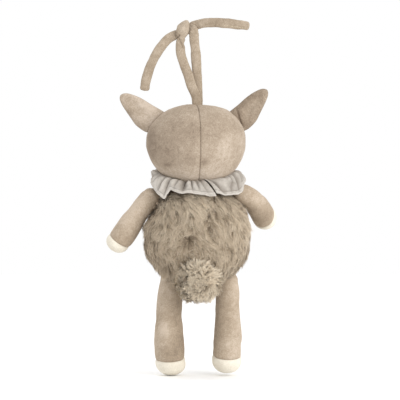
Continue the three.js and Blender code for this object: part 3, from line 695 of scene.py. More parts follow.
# Each tie's route in millimetres: up from the head, round in the knot, out along its free end.
STRAP_A = [(-8.2, 2.4, -65.5), (-6.4, 2.7, -54), (-2.4, 2.7, -44), (1.4, 2.7, -32), (6, 2.6, -20),
           (8.4, 2.8, -9), (8.4, 3.6, -1)]
KNOT_A = [(7.4, 5, 6), (6.4, 5.6, 11.6), (5.8, 3.4, 16.6), (5.4, -0.6, 17.6), (4, -4.6, 14), (0, -6, 13.4)]
END_A = [(-5, -4.6, 16.2), (-12, -1.4, 18.1), (-20, 0.8, 18.9), (-30, 1.8, 18.9), (-40, 1.5, 18.1),
         (-50, 1, 16.9), (-60.5, 0.5, 15.6)]
STRAP_B = [(-9, -2.5, -65.5), (-8.8, -2.7, -48), (-8.2, -1.9, -36), (-7.5, -0.2, -24), (-6.8, 1.6, -12),
           (-5.8, 3.2, 0), (-5, 3.8, 7)]
KNOT_B = [(-4.7, 3, 12), (-3.2, 0.2, 13.6), (0.4, -1.6, 12.4), (5.4, -1, 9.8)]
END_B = [(11, -0.2, 7.6), (16.8, 0.6, 5.6), (22, 1.4, 2), (26.6, 2, -3.6), (31.8, 2.2, -11.4),
         (36.8, 2, -20.4), (40.6, 1.6, -29.6), (43, 1.2, -39), (44.6, 0.8, -49)]
# The creases where the back of tie A is pulled into the knot: across and up, at both ends.
KNOT_CREASES = [((10.4, 3.6), (5.0, -6.4)), ((14.8, 1.6), (9.4, 7.0)), ((3.6, 2.6), (-0.6, 8.6))]
# The machine stitches along the free end of tie A: where they start and stop before its end, how far
# from its middle they run, their pitch and their length.
STITCH_START, STITCH_STOP, STITCH_ASIDE = 26 * MM, 4 * MM, 2.6 * MM
STITCH_PITCH, STITCH_LENGTH = 2.6 * MM, 1.7 * MM


def strap_frame(line, first, last):
    """A flat strap's normal and side: it faces back at the head, is carried along without twist, and turns
    within the knot, between the points first and last, so that its free end faces back again."""
    tangent = unit(np.gradient(line, axis=0))
    back = np.array([0, 1.0, 0])
    normal = np.zeros_like(line)
    carried = back
    for i, ahead in enumerate(tangent):
        carried = unit(carried - (carried @ ahead) * ahead)
        normal[i] = carried
    side = np.cross(tangent, normal)
    twist = math.atan2(side[-1] @ back, normal[-1] @ back)
    twist = (twist + math.pi / 2) % math.pi - math.pi / 2
    turn = (twist * ease((np.arange(len(line)) - first) / (last - first)))[:, None]
    return normal * np.cos(turn) + side * np.sin(turn), side * np.cos(turn) - normal * np.sin(turn)


def knot_crease(points):
    """How close each point is to the creases under the knot, on the back of the tie."""
    near = np.zeros(points.shape[:2])
    for start, stop in np.array(KNOT_CREASES) * MM:
        off = points[..., [0, 2]] - start
        reach = np.linalg.norm(stop - start)
        ahead = (stop - start) / reach
        share = off @ ahead / reach
        aside = off[..., 0] * ahead[1] - off[..., 1] * ahead[0]
        ends = np.clip(5 * share + 0.5, 0, 1) * np.clip(5 * (1 - share) + 0.5, 0, 1)
        near = np.maximum(near, bell(aside, 0.9 * MM) * ends)
    return near * (points[..., 1] > 3 * MM)


def tie(name, before, knot, after, node, seed):
    """A stuffed velour strap: flat from the head, pinched and wound in the knot, flat to its sewn end.
    The right one goes over the knot, so it spreads into the knot's dome and is creased there."""
    count, around, soft = 320, 44, 10
    over = node == "tie_right"
    line = smooth_path(before + knot + after, count) * MM
    ends = np.array([before[-1], after[0]]) * MM
    first, last = (int(np.argmin(np.linalg.norm(line - p, axis=1))) for p in ends)
    normal, side = strap_frame(line, first, last)
    index = np.arange(count)
    inside = np.clip((index - first + soft) / soft, 0, 1) * np.clip((last + soft - index) / soft, 0, 1)
    inside = ease(inside)
    along = along_of(line)
    to_end = along[-1] - along
    closing = (1 - (1 - np.clip(to_end / (3.6 * MM), 0, 1)) ** 2.6) ** (1 / 2.6)
    crown = np.clip((line[:, 1] + 1 * MM) / (4 * MM), 0, 1)
    crown = inside * ease(crown * np.clip((line[:, 2] - 2 * MM) / (6.4 * MM), 0, 1)) * over
    half = TIE_WIDTH / 2 * (1 - 0.1 * inside + 0.46 * crown) * closing
    thick = TIE_THICK / 2 * (1 + 0.1 * inside + 0.25 * crown) * closing ** 0.8
    turn = around_turn(around)
    c, s = np.cos(turn), np.sin(turn)
    across = np.sign(c) * np.abs(c) ** 0.8
    deep = np.sign(s) * np.abs(s) ** 0.9
    points = (line[:, None] + side[:, None] * (half[:, None] * across)[..., None]
              + normal[:, None] * (thick[:, None] * deep)[..., None])
    outward = unit(points - line[:, None])
    pinch = bell(along - along[first] + 7 * MM, 7 * MM)[:, None]
    uneven = lumps(points, 8, seed + 3, 2)
    wave = np.sin((along[:, None] + 2.6 * MM * np.abs(across)) / (1.1 * MM) + 2.5 * uneven)
    folds = wave * pinch * np.abs(s) ** 2 * np.clip(0.6 + 0.6 * uneven, 0, 1)
    creased = knot_crease(points) * over
    edge_seam = bell((turn + math.pi) % (2 * math.pi) - math.pi, math.sqrt(0.02))
    relief = 0.3 * MM * lumps(points, 11, seed)
    relief = relief + 0.4 * MM * inside[:, None] * lumps(points, 5, seed + 1)
    relief = relief - 0.4 * MM * edge_seam * closing[:, None] + 0.16 * MM * folds - 1.2 * MM * creased
    points = points + outward * relief[..., None] * closing[:, None, None]
    obj = grid_object(name, points, wrap=True, caps=(0, -1))
    near_end = bell(to_end - 2.2 * MM, 0.5 * MM)[:, None]
    # The seam attribute darkens the edge seam and the sewn line near the end, and paints shade into the
    # knot's creases; the nap paints the pinched folds lighter on their ridges and darker in their valleys,
    # and the knot lighter.
    give(obj, seam=0.3 * edge_seam + 0.12 * near_end + 0.45 * creased,
         nap=0.12 * lumps(points, 9, seed + 2, 3) + 0.2 * folds + 0.25 * inside[:, None])
    paint(obj, TIE_VELOUR)
    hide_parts(node)
    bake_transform(obj)
    return line, side, normal


def build_ties():
    """Both ties, and a row of machine stitches on the back of tie A near its end."""
    line, side, normal = tie("tie_strap_right", STRAP_A, KNOT_A, END_A, "tie_right", 41)
    along = along_of(line)
    normal = normal * np.sign(normal[:, 1:2])
    side = -side * np.sign(side[:, 2:])
    stitches = []
    for at in np.arange(along[-1] - STITCH_START, along[-1] - STITCH_STOP, STITCH_PITCH):
        s = np.linspace(at, at + STITCH_LENGTH, 6)
        p, w, n = (track_at(s, along, track) for track in (line, side, normal))
        rise = np.sin(np.linspace(0, math.pi, 6))[:, None] * 0.25 * MM
        p = p + w * STITCH_ASIDE + n * (TIE_THICK / 2 * 0.88 + rise)
        stitches.append(tube_rings(p, 0.27 * MM, 6))
    obj = tubes_object("tie_end_stitches", stitches)
    dress(obj, TIE_THREAD, "ties", "embroidery")
    tie("tie_strap_left", STRAP_B, KNOT_B, END_B, "tie_left", 51)


# ---------------- collar

# The ruffle is cut as one flat strip, as long as its hem and a seam allowance.
# The hem of the ruffle from the left side of its back opening round to the right side: angle from the
# back (+Y) towards the fawn's left, radius and height, in degrees and millimetres.
HEM = [
    (-27, 40, -152), (-20, 40, -152), (-12, 39, -151.2), (0, 39, -150), (12, 39.5, -149.4),
    (22, 39.6, -149.8), (32, 38.4, -148.6), (40, 37.4, -147), (44, 40, -151), (46.4, 43.5, -155.4),
    (51, 44.6, -153), (60, 46, -148.6), (72, 46.2, -143), (84, 45.8, -135.6), (100, 45.4, -129.4),
    (112, 45.4, -131.5), (124, 44, -138), (138, 43, -146), (151, 41, -142.5), (165, 42.5, -149),
    (180, 40.5, -144), (193, 42.5, -149.5), (206, 41, -143.5), (218, 43, -148), (231, 43, -141.5),
    (243, 45, -135), (256, 46.4, -133), (268, 47, -137.5), (278, 47.4, -142), (287, 47, -147.6),
    (297, 46, -150.8), (309, 43, -151.4), (320, 41, -151), (330.8, 40, -149.2),
]
# Where the ruffle leans against the head: angle, radius and height.
CREST = [
    (-31, 25.5, -138.3), (0, 25, -138.2), (30, 26.5, -138), (50, 29.5, -136.4), (70, 33.5, -133.2),
    (90, 36, -131), (115, 34, -132), (140, 29, -136), (180, 26, -139), (220, 29, -136), (245, 33.5, -132),
    (270, 36.5, -131), (290, 33.5, -134), (310, 29, -137), (336, 25.8, -138.3),
]
# The creases of the ruffle on either side of the opening: angle of the lower end, depth and reach to each
# side, in degrees and millimetres. Those in front are drawn at random.
CREASES_LEFT = [(-17, 0.7, 2.4), (-6, 0.8, 2.4), (5, 1.9, 2.4), (21, 3.2, 6), (35, 1.2, 3), (49, 1.7, 3.4),
                (61, 2.6, 2.6), (76, 1.2, 2.4)]
CREASES_RIGHT = [(281, 1.2, 3.5), (296, 2.3, 3.2), (307, 1.0, 2.6), (318, 2.3, 3.2)]
# How many degrees further on a crease is at the neck than at the hem, by angle.
LEAN = [(-31, 0), (5, -2), (30, -8), (62, -10), (180, -10), (280, -14), (294, -22), (306, -6), (318, 6),
        (331, 3)]
# The stitched band along the hem starts at this share of the ruffle's depth. On the flat left panel, which
# runs between two angles, it is far wider.
HEM_BAND, PANEL_BAND, PANEL = 0.845, 0.225, (61, 112)


def ruffle_creases():
    rng = np.random.default_rng(8)
    creases = list(CREASES_LEFT)
    while creases[-1][0] < CREASES_RIGHT[0][0] - 20:
        creases.append((creases[-1][0] + rng.uniform(8, 19), rng.uniform(0.8, 2.8), rng.uniform(2.4, 5)))
    return creases + CREASES_RIGHT


def curve_at(table, angles):
    """Radius and height at the given angles, on a smooth curve through the table's points."""
    line = smooth_path(np.array(table, float) / (4, 1, 1), 900)
    line = line[np.argsort(line[:, 0], kind="stable")]
    return track_at(angles, line[:, 0] * 4, line[:, 1:])


def ruffle_profile(hem, crest, t):
    """Smooth curves from the neck seam (t = 0) over the crest and the shoulder to the hem (t = 1)."""
    seam = np.array([[18.0, -146.5]])
    shoulder = crest * 0.45 + hem * 0.55 + np.array([1.6, 2.6])
    knots = (0.0, 0.3, 0.62, 1.0)
    profile = 0
    for knot, curve in zip(knots, (seam, crest, shoulder, hem)):
        weight = np.ones_like(t)
        for other in knots:
            if other != knot:
                weight = weight * (t - other) / (knot - other)
        profile = profile + weight[..., None] * curve
    return profile[..., 0], profile[..., 1]


def build_ruffle():
    columns, rows = 900, 52
    start, end = HEM[0][0], HEM[-1][0]
    share = np.linspace(0, 1, columns)
    hem_angle = start + (end - start) * share
    seam_angle = start + 20 + (end - start - 2) * share
    t = np.linspace(0, 1, rows)[:, None]
    radius, height = ruffle_profile(curve_at(HEM, hem_angle), curve_at(CREST, hem_angle), t)
    turn = np.radians(seam_angle * (1 - t) ** 1.4 + hem_angle * (1 - (1 - t) ** 1.4))
    lean = np.interp(hem_angle, *zip(*LEAN)) * np.clip(1 - t, 0, 0.7) / 0.7
    fade = np.clip((1.0 - t) / 0.4, 0.12, 1) * np.clip(0.3 + t * 3, 0, 1)
    fold, crease = np.zeros((rows, columns)), np.zeros((rows, columns))
    for place, depth, reach in ruffle_creases():
        off = np.abs(hem_angle - lean - place)
        fold -= depth * fade * bell(off, reach, 1.4)
        fold += 0.35 * depth * fade * bell(off - 2.1 * reach, 1.3 * reach)
        # Dark lines painted along the folds' valleys as shade.
        crease = np.maximum(crease, min(depth / 2, 1) * fade * bell(off, 0.26 * reach + 0.35))
    on_panel = np.clip((hem_angle - PANEL[0]) / 5, 0, 1) * np.clip((PANEL[1] - hem_angle) / 12, 0, 1)
    hem_start = HEM_BAND + (PANEL_BAND - HEM_BAND) * on_panel
    hem_band = 1 / (1 + np.exp(-(t - hem_start) / 0.006))
    hem_stitch = bell(t - hem_start, 0.014)
    radius = radius + 1.25 * fold + 1.3 * bell(share, 0.016) - 1.6 * bell(1 - share, 0.02)
    radius = radius + 0.35 * hem_band - 0.35 * hem_stitch
    flatten = 1 - 0.085 * t * np.cos(turn) ** 2
    across = NECK_X / MM + radius * np.sin(turn)
    points = np.stack([across, radius * np.cos(turn) * flatten, height + 0.6 * fold], -1) * MM
    points = points + np.array([0.8, 0.8, 0.5]) * MM * lumps(points, 15, 60, 2)[..., None]
    points = points + 0.22 * MM * lumps(points, 5, 61)[..., None]
    obj = grid_object("collar_muslin", points)
    # Painted light and shade: the folds darker in their valleys and lighter on their ridges, and the fawn's
    # left side and the flat left panel lighter; the hem band is lighter and its stitch line dark.
    lighter = 0.35 * bell(hem_angle - 74, 20) + 0.2 * np.sin(turn) - 0.1
    give(obj, seam=np.maximum(crease, 0.65 * hem_stitch), nap=0.5 * hem_band + 0.34 * fold + lighter)
    thicken(obj, 0.8 * MM)
    build_hem(points[-1])
    dress(obj, MUSLIN, "collar", "muslin", ["collar_ruffle"])


def build_hem(line):
    """The ruffle's rolled hem: a soft round edge just over the cloth's own."""
    rings = tube_rings(line, 0.8 * MM, 10, (0.2, 0.3, 1))
    rings = rings + 0.12 * MM * lumps(rings, 3, 62)[..., None]
    obj = grid_object("collar_hem", rings, wrap=True, caps=(0, -1))
    give(obj, nap=0.75)
    dress(obj, MUSLIN, "collar", "muslin")
    return obj


def build_neck():
    """The stuffed neck under the ruffle and the sewn band round it, in one muslin skin."""
    low, high = box_of("neck_band")
    middle = (low + high) / 2
    shares = np.array([0.99, 0.99, 0.9, 0.72, 0.4])
    heights = np.array([low[2] - 1 * MM, *(high[2] + rise * MM for rise in (0, 3, 8, 10))])
    profile = smooth_path(np.stack([shares * (high[0] - low[0]) / 2, heights], 1), 40)
    turn = around_turn(96)
    r = profile[:, :1] * (1 + 0.03 * np.cos(turn * 16))
    points = np.stack([middle[0] + r * np.cos(turn), middle[1] + r * np.sin(turn),
                       profile[:, 1:] + 0 * turn], -1)
    obj = grid_object("neck_band_muslin", points, wrap=True, caps=(0, -1))
    dress(obj, MUSLIN, "collar", "muslin", ["neck_band", "neck_stuffing"], 0.8)


# ---------------- fur


def coat(name, tufts, hair, seed, base, material, held=None):
    """Flat tapering hairs that grow in fine tufts over a dense backing. A hair starts near its tuft's root,
    rises, lies down the tuft's way and draws in towards the tuft's own line. held, when given, moves the
    hairs' points clear of a neighbour."""
    rng = np.random.default_rng(seed)
    owner = np.repeat(np.arange(len(tufts["roots"])), hair.count)
    count = len(owner)
    root, normal, way = (tufts[k][owner] for k in ("roots", "normals", "ways"))
    aside = np.cross(normal, way)
    own = rng.normal(0, hair.spread, (count, 2))
    own = way * own[:, :1] + aside * own[:, 1:]
    fan = rng.normal(0, hair.fan, (count, 1))
    way = way * np.cos(fan) + aside * np.sin(fan)
    grow = (tufts["grow"][owner] * rng.uniform(0.65, 1.1, count))[:, None] * hair.length
    rise = (tufts["lift"][owner] * rng.uniform(0.75, 1.25, count))[:, None] * hair.rise
    steps = np.array([0.0, 0.36, 0.7, 1.0])
    lines = np.stack([
        root + own * (1 - hair.gather * s ** 0.8) + way * grow * s ** 1.3
        + normal * rise * s * (2.1 - 1.3 * s)
        for s in steps
    ], 1)
    if held:
        lines = held(lines)
    tangent = unit(np.gradient(lines, axis=1))
    flat = unit(np.cross(tangent, normal[:, None]))
    roll = rng.normal(0, 0.8, count)[:, None, None]
    side = flat * np.cos(roll) + np.cross(flat, tangent) * np.sin(roll)
    taper = np.array([0.8, 1.0, 0.7])[None, :, None]
    half = side[:, :3] * (hair.width * rng.uniform(0.7, 1.3, count)[:, None, None] * taper) / 2

    def both_edges(left, right, tip):
        return np.concatenate([left, right, tip], 1).reshape(-1, 3)

    points = both_edges(lines[:, :3] - half, lines[:, :3] + half, lines[:, 3:])
    n = np.arange(count)[:, None] * 7
    bands = np.concatenate([np.hstack([n + a, n + a + 3, n + a + 4, n + a + 1]) for a in (0, 1)])
    tips = np.hstack([n + 2, n + 5, n + 6])
    base_points, base_faces = base
    faces = bands.tolist() + tips.tolist() + (np.asarray(base_faces) + len(points)).tolist()
    obj = mesh_object(name, np.vstack([points, base_points]), faces)
    shine = unit(np.cross(side, tangent))
    shine = shine * np.sign((shine * normal[:, None]).sum(-1, keepdims=True) + 1e-9)
    soft = unit(normal[:, None] * 0.7 + shine * 0.75 + tangent * 0.3)
    soft = both_edges(soft[:, :3], soft[:, :3], soft[:, 3:])
    base_soft = unit(base_points - base_points.mean(0)) if len(base_points) else base_points
    obj.data.normals_split_custom_set_from_vertices(np.vstack([soft, base_soft]).tolist())
    share = np.tile([*steps[:3], *steps[:3], 1.0], count)
    tone = rng.normal(0.5, 0.18, count) + tufts["tone"][owner]
    give(obj, along=np.concatenate([share, np.zeros(len(base_points))]),
         tone=np.concatenate([np.repeat(tone, 7), np.full(len(base_points), 0.3)]))
    paint(obj, material, FUR_BACKING)
    slots = np.zeros(len(obj.data.polygons), int)
    slots[count * 3:] = 1
    obj.data.polygons.foreach_set("material_index", slots)
    return obj


def scattered(count, size, keep, seed):
    """Points spread over a soft ball where keep holds, with their normals."""
    rng = np.random.default_rng(seed)
    p = blob(unit(rng.normal(size=(count * 6, 3))), size)
    p = p[keep(p)][:count]
    return p, blob_normal(p, size)


def ball_mesh(size, around, rows, keep):
    """Points and faces of a soft ball's skin, only where keep holds."""
    grid = ball_grid(np.linspace(0, 2 * math.pi, around), rows, 0.03)
    points = blob(polar(*grid), size).reshape(-1, 3)
    corners = quads(rows, around)[:, ::-1]
    corners = corners[keep(points[corners].mean(1))]
    used, corners = np.unique(corners, return_inverse=True)
    return points[used], corners.reshape(-1, 4)


def everywhere(p):
    return np.ones(len(p), bool)


TORSO = Ball(
    centre=np.array([(TORSO_LOW[0] + TORSO_HIGH[0]) / 2, 0.0, TORSO_LOW[2] + 38 * MM]),
    rx=(TORSO_HIGH[0] - TORSO_LOW[0]) / 2 - 3.2 * MM,
    ry=(TORSO_HIGH[1] - TORSO_LOW[1]) / 2 - 4.5 * MM,
    up=42.5 * MM,
    down=36.5 * MM,
    boxy=2.6,
)
# Swirls in the body's fur: place across, height, reach, and how strongly the hair turns out from there.
SWIRLS = [(0, -196, 13, 1.3), (-21, -196, 11, -0.9), (14, -176, 12, -0.7), (-30, -172, 13, 0.8),
          (20, -218, 12, 0.9), (5, -214, 9, 0.9)]
# The parting in the fur above the swirls, where shade is painted into the hair, from its lower to its upper
# end:
# across and height.
PARTING = ((-22, -214), (-19, -168))
UNDER_HAIR = Hair(3400, 10, 7.5 * MM, 3.4 * MM, 0.3 * MM, 1.1 * MM, 0.45, 0.3, 0.7)
LONG_HAIR = Hair(1600, 24, 13.5 * MM, 5.4 * MM, 0.25 * MM, 1.05 * MM, 0.7, 0.1, 0.18)
TAIL_FUR = Hair(2000, 18, 6.5 * MM, 7 * MM, 0.25 * MM, 0.95 * MM, 0.68, 0.2, 0.25)


def sloped(p):
    """The body's left shoulder slopes in, where the arm lies against it."""
    out = p.copy()
    aside = np.clip(p[:, 0] - TORSO.centre[0] - 12 * MM, 0, None)
    out[:, 0] -= 0.17 * aside * ease((p[:, 2] - TORSO.centre[2] - 13 * MM) / (20 * MM))
    return out


def back_middle(p):
    """1 in the middle of the body, falling to 0 at its sides, where the coat lies smoother."""
    return bell(p[:, 0] - TORSO.centre[0], 36 * MM, 4)


def parting_offset(p):
    """How far each point is from the parting, in millimetres, positive towards the fawn's left."""
    low, high = np.array(PARTING, float)
    share = np.clip((p[:, 2] / MM - low[1]) / (high[1] - low[1]), 0, 1)
    off = p[:, [0, 2]] / MM - low - share[:, None] * (high - low)
    return np.linalg.norm(off, axis=1) * np.where(off[:, 0] > 0, 1, -1)


def fur_pits(p):
    """How deep in a swirl's middle or in the coat's parting each point of the back is."""
    across, height = p[:, 0] / MM, p[:, 2] / MM
    deep = np.clip(0.6 + 0.5 * lumps(p, 7, 79, 2), 0.2, 1) * bell(parting_offset(p), 2.4)
    for x, z, reach, _ in SWIRLS:
        deep = np.maximum(deep, bell(np.hypot(across - x, height - z), 0.4 * reach))
    return deep * (p[:, 1] > 0)


def torso_ways(p, n, seed, scatter):
    """The way each tuft lies: down the body, turned aside by swirls and by a slow drift."""
    down = unit(np.array([0, 0, -1.0]) - n * -n[:, 2:])
    aside = unit(np.cross(down, n))
    angle = 0.6 * lumps(p, 24, seed, 2) + scatter
    angle = angle + (0.15 + 0.3 * back_middle(p)) * lumps(p, 9, seed + 1, 2)
    way = down * np.cos(angle)[:, None] + aside * np.sin(angle)[:, None]
    for x, z, reach, strength in SWIRLS:
        away = p - np.array([x * MM, p[:, 1].mean(), z * MM])
        away[:, 1] = 0
        pull = strength * bell(np.linalg.norm(away, axis=1), reach * MM)
        way = way + pull[:, None] * unit(away) * (p[:, 1:2] > 0)
    parted = parting_offset(p)
    way[:, 0] += 0.7 * np.sign(parted) * bell(parted, 7) * (p[:, 1] > 0)
    way = unit(way - (way * n).sum(1, keepdims=True) * n)
    hang = np.clip(-n[:, 2:] - 0.15, 0, 1)
    return unit(way * (1 - 0.7 * hang) + np.array([0, 0, -1.1]) * hang)


def under_collar(points):
    """Keep hair inside the ruffle, from its hem up, and under its neck seam. In millimetres, the room
    narrows from below the hem to above it, and the ceiling rises outward from the seam."""
    below, above, hem_z, seam_z, seam_radius = 38.5, 33, -150, -147.6, 18
    neck = np.array([NECK_X, 0])
    height = points[..., 2] / MM
    off = (points[..., :2] - neck) / MM
    reach = np.linalg.norm(off * np.array([1, 1.09]), axis=-1)
    room = above + (below - above) * np.clip((hem_z - height) / 6, 0, 1)
    over = (height > hem_z - 6) & (reach > room)
    shrink = np.where(over, room / np.maximum(reach, 1), 1)
    ceiling = seam_z + 0.9 * np.clip(reach - seam_radius, 0, 7)
    out = points.copy()
    out[..., :2] = neck + off * shrink[..., None] * MM
    out[..., 2] = np.minimum(height, ceiling) * MM
    return out


def torso_part(name, keep, hair, seed, nodes, base):
    """One quarter's hair of one kind. It stands up more at the back's top and lies flatter in the pits. Its
    tone is painted lighter at the back's top, where the ruffle's shadow falls, and painted darker as shade in
    the pits and towards the fawn's left side, beside the arm.
    """
    roots, normals = scattered(hair.tufts, TORSO, keep, seed)
    roots = sloped(roots)
    rng = np.random.default_rng(seed + 1)
    wave = lumps(roots, 11, 77, 2)
    middle = back_middle(roots)
    aside, above = ((roots[:, k] - TORSO.centre[k]) / MM for k in (0, 2))
    top = np.clip((above - 24) / 12, 0, 1) * bell(aside + 3, 25, 4)
    pits = fur_pits(roots)
    shade = np.clip((aside - 26) / 14, 0, 1)
    tufts = {
        "roots": roots,
        "normals": normals,
        "ways": torso_ways(roots, normals, 71, rng.normal(0, hair.scatter, len(roots))),
        "grow": (np.clip(1 + 0.12 * wave, 0.7, 1.3) * rng.uniform(0.75, 1.15, len(roots))
                 * (0.85 + 0.15 * middle + 0.45 * top)),
        "lift": (np.clip(1 + 0.3 * wave, 0.5, 1.6) * rng.uniform(0.6, 1.3, len(roots))
                 * (0.6 + 0.4 * middle + 0.7 * top) * (1 - 0.4 * pits)),
        # Painted light at the back's top, painted shade in the pits and on the left side.
        "tone": 0.1 * wave + rng.normal(0, 0.1, len(roots)) + 0.25 * top - 0.5 * pits - 0.3 * shade,
    }
    obj = coat(name, tufts, hair, seed + 3, base, TORSO_HAIR, under_collar)
    place_piece(obj, "torso", "long_fur", nodes, 0.85)


def build_torso():
    """The body's coat in quarters, each with dense under-hair on its backing and long hair over it."""
    quarters = (("back_left", 1, True, ["torso_fur_back", "torso_stuffing"]), ("back_right", -1, True, []),
                ("front_left", 1, False, ["torso_fur_front"]), ("front_right", -1, False, []))
    nothing = (np.zeros((0, 3)), np.zeros((0, 4), int))
    for i, (name, side, back, nodes) in enumerate(quarters):
        def keep(p, side=side, back=back):
            return ((p[:, 0] - TORSO.centre[0]) * side >= 0) & ((p[:, 1] >= 0) == back)

        base_points, base_faces = ball_mesh(TORSO, 120, 70, keep)
        base = (sloped(base_points), base_faces)
        name = f"torso_fur_{name}"
        torso_part(f"{name}_under", keep, UNDER_HAIR, 200 + 10 * i, nodes, base)
        torso_part(f"{name}_long", keep, LONG_HAIR, 300 + 10 * i, [], nothing)


def build_tail():
    middle = centre("tail_pompom") + np.array([1.2, 0, 4.4]) * MM
    ball = Ball(middle, 14.6 * MM, 13 * MM, 14 * MM, 13.8 * MM, 2.2)
    roots, normals = scattered(TAIL_FUR.tufts, ball, everywhere, 91)
    rng = np.random.default_rng(93)
    wave = lumps(roots, 9, 95, 2)
    spin = unit(np.cross(normals, np.stack([lumps(roots, 12, 96 + k, 2) for k in range(3)], -1)))
    droop = np.array([0, 0, -0.6]) - normals * (normals[:, 2:] * -0.6)
    tufts = {
        "roots": roots,
        "normals": normals,
        "ways": unit(spin * 0.8 + droop + TAIL_FUR.scatter * rng.normal(size=normals.shape)),
        "grow": rng.uniform(0.85, 1.12, len(roots)),
        "lift": np.clip(1 + 0.25 * wave, 0.5, 1.5) * rng.uniform(0.7, 1.2, len(roots)),
        "tone": 0.18 + 0.08 * wave + rng.normal(0, 0.1, len(roots)),
    }
    skin = ball_mesh(ball, 60, 36, everywhere)
    obj = coat("tail_fur_ball", tufts, TAIL_FUR, 94, skin, TAIL_HAIR)
    place_piece(obj, "tail", "long_fur", ["tail_pompom", "tail_knot"], 0.7)


def build_pull_cord():
    """The cord from the movement's reel through the eyelet into the tail, plaited from three yarns."""
    low, high = box_of("pull_cord")
    x = (low[0] + high[0]) / 2
    start = np.array([x, low[1] + 0.6 * MM, high[2] - 0.6 * MM])
    end = np.array([x, high[1] - 0.6 * MM, low[2] + 0.6 * MM])
    line = start + np.linspace(0, 1, 160)[:, None] * (end - start)
    rings = tube_rings(line, 0.9 * MM, 18, (1, 0, 0))
    strand = np.cos(3 * around_turn(18)[None] + np.linspace(0, 60, 160)[:, None])
    rings = rings + unit(rings - line[:, None]) * (0.12 * MM * strand)[..., None]
    obj = grid_object("pull_cord_plait", rings, wrap=True, flip=True, caps=(0, -1))
    paint(obj, CORD_THREAD)
    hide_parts("pull_cord")
    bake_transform(obj)


# ---------------- limbs

# A limb's route in millimetres and its radius at shares of its length; how far from its tip the seam of its
# cream end runs, how much less at the back and at one side; its brushed places and, on the left hand, painted
# shade, by middle, reach and how much lighter they look; how deep the folds at its top are; and a seed.
Limb = namedtuple("Limb", "route radii seam marks wrinkle seed")
ARM_RADII = [(0, 8.4), (0.16, 9.8), (0.5, 11.2), (0.8, 12.4), (1, 12.2)]
LIMBS = {
    "arm_left": Limb(
        [(32.4, 2.8, -147.6), (51, 4, -172.2), (64.4, 4, -190), (77.6, 3, -207.8)],
        ARM_RADII, (13, 2.5, 0), [((50, 14, -168), 22, 0.3), ((80, 8, -211), 10, -0.7)], 0.3, 101),
    "arm_right": Limb(
        [(-43, 3, -149.2), (-58, -1.6, -153.4), (-67.5, -11.5, -162.4), (-74.5, -24, -173.6),
         (-79.5, -38, -183)],
        ARM_RADII, (14.5, 2.5, 3.2), [((-66, 6, -160), 12, 0.25), ((-76, -10, -176), 9, -0.3)], 0.3, 101),
    "leg_left": Limb(
        [(17.2, 0, -228), (17.8, 0, -244), (19.4, 0, -262), (20.6, 0, -292), (18.4, 0, -318),
         (18, 0, -333.7)],
        [(0, 10.5), (0.16, 11.8), (0.33, 12.9), (0.6, 14.4), (0.85, 15.6), (1, 15.3)],
        (17.5, 3.2, 0), [((25, 13, -286), 7, 0.8), ((14, 13, -306), 9, -0.3)], 0.12, 111),
    "leg_right": Limb(
        [(-38.2, 0, -228), (-38.6, 0, -262), (-38.7, 0, -292), (-37.9, 0, -316), (-37.1, 0, -331.5)],
        [(0, 10.5), (0.25, 11.4), (0.5, 12.8), (0.7, 13.9), (0.85, 14.6), (1, 14.2)],
        (17.5, 3.2, 0), [((-40, 13, -312), 12, 0.3)], 0.12, 111),
}


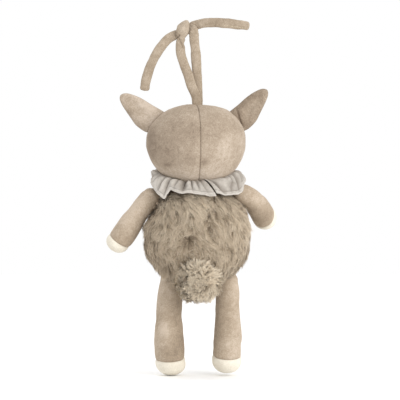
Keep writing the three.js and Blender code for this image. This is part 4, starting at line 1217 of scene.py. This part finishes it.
def build_limb(name, more_nodes, end_node):
    """A stuffed sleeve with a cream end: one swept skin that a seam divides in two."""
    route, radii, seam, marks, wrinkle, seed = LIMBS[name]
    line = smooth_path(route, 200) * MM
    along = along_of(line)
    total = along[-1]
    tangent = unit(np.gradient(line, axis=0))
    across = unit(np.cross(tangent, np.array([0.0, 1.0, 0.0])))
    back = np.cross(across, tangent)
    back = back * np.sign(back[:, 1:2] + 1e-9)
    turn = around_turn(72)
    stations, sizes = zip(*radii)
    cap, lean, tilt = seam
    seam_at = total - cap * MM + lean * MM * np.sin(turn) + tilt * MM * np.cos(turn)
    side_seam = bell(np.minimum(np.abs(turn - math.pi), np.minimum(turn, 2 * math.pi - turn)), 0.06)

    def skin(s):
        """Points, seam creases, and nap with painted light on each limb's outer side, at the distances s
        (rows, columns) down the limb.
        """
        share = s / total
        r = np.interp(share, stations, sizes) * MM
        start = np.clip(s / (sizes[0] * MM * 0.95), 0, 1)
        finish = np.clip((total - s) / (sizes[-1] * MM * 0.95), 0, 1)
        r = r * np.sqrt(1 - (1 - start) ** 2) * (1 - (1 - finish) ** 2.3) ** (1 / 2.3)
        gap = s - seam_at
        groove = bell(gap, 0.8 * MM, 1.4)
        p, a, b = (track_at(s, along, track) for track in (line, across, back))
        outward = a * np.cos(turn)[None, :, None] + b * np.sin(turn)[None, :, None]
        rough = p + outward * r[..., None]
        folds = np.sin(s / (1.9 * MM) + 2.2 * np.sin(turn * 2 + seed)) * bell(share - 0.12, 0.1)
        relief = 0.55 * MM * lumps(rough, 17, seed, 3) + wrinkle * MM * folds
        relief = relief - 0.9 * MM * groove - 0.35 * MM * bell(gap, 4 * MM)
        relief = relief - 0.35 * MM * side_seam * np.sin(math.pi * np.clip(share, 0, 1)) ** 0.5
        points = rough + outward * (relief * np.clip(r / (4 * MM), 0, 1))[..., None]
        # Painted highlight: the side facing away from the body is lighter, like a sheen on the outer edge.
        away = np.sign(line[-1, 0] - NECK_X) * a[..., 0] * np.cos(turn)
        nap = 0.3 * away + 0.08 * lumps(points, 14, seed + 5, 3)
        for middle, reach, tone in marks:
            nap = nap + tone * bell(np.linalg.norm(points - np.array(middle) * MM, axis=-1), reach * MM)
        return points, np.maximum(0.4 * groove, 0.25 * side_seam), nap

    upper = np.linspace(0.0005, 1, 110)[:, None] ** 0.9 * seam_at[None]
    lower = seam_at[None] + np.linspace(0, 1, 50)[:, None] ** 1.1 * (total - 0.02 * MM - seam_at[None])
    sleeve_nodes = [f"{name}_sleeve", f"{name}_stuffing", *more_nodes]
    pieces = (("velour_sleeve", upper, LIMB_VELOUR, "velour", sleeve_nodes, 0, 0.9),
              ("cream_end", lower, CREAM, "cream_plush", [f"{name}_{end_node}"], -1, 0.35))
    for piece, s, material, slot, nodes, cap_row, seam_depth in pieces:
        points, crease, nap = skin(s)
        obj = grid_object(f"{name}_{piece}", points, wrap=True, caps=(cap_row,))
        give(obj, seam=crease * seam_depth, nap=nap)
        dress(obj, material, name, slot, nodes, 0.85)


def build_shoulder(side):
    """The unstuffed velour tab that joins the sleeve to the body."""
    size = size_of(f"shoulder_tab_{side}", 0.0, 3.0)
    obj = ball_object(f"shoulder_{side}_tab_velour", size, 30, 40,
                      lambda p: 0.15 * MM * lumps(p, 4, 121))
    dress(obj, LIMB_VELOUR, f"shoulder_{side}", "velour", [f"shoulder_tab_{side}"])


# ---------------- movement

MOVEMENT = (
    (PLASTIC, ("case_front", "case_back", "cord_eyelet", "cord_reel")),
    (BRASS, ("spring_barrel", "great_wheel", "pinned_cylinder", "cylinder_pinion", "governor_wheel",
             "comb_bridge")),
    (STEEL, ("movement_chassis", "comb", "comb_screw_1", "comb_screw_2", "reel_arbor", "mainspring",
             "cylinder_arbor", "governor_arbor", "governor_fan")),
    (CORD_THREAD, ("cord_winding",)),
)


def paint_movement():
    for material, names in MOVEMENT:
        for name in names:
            paint(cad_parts[name], material)


# ---------------- assembly

add_camera()
build_ties()
add_studio()
build_head()
for side in ("left", "right"):
    ear_skin(side, False)
    ear_skin(side, True)
build_face()
build_neck()
build_ruffle()
build_torso()
build_tail()
build_pull_cord()
for side in ("left", "right"):
    build_limb(f"arm_{side}", [], "hand")
    build_shoulder(side)
for side in ("left", "right"):
    build_limb(f"leg_{side}", [f"hip_tab_{side}"], "foot")
paint_movement()

bpy.context.view_layer.update()
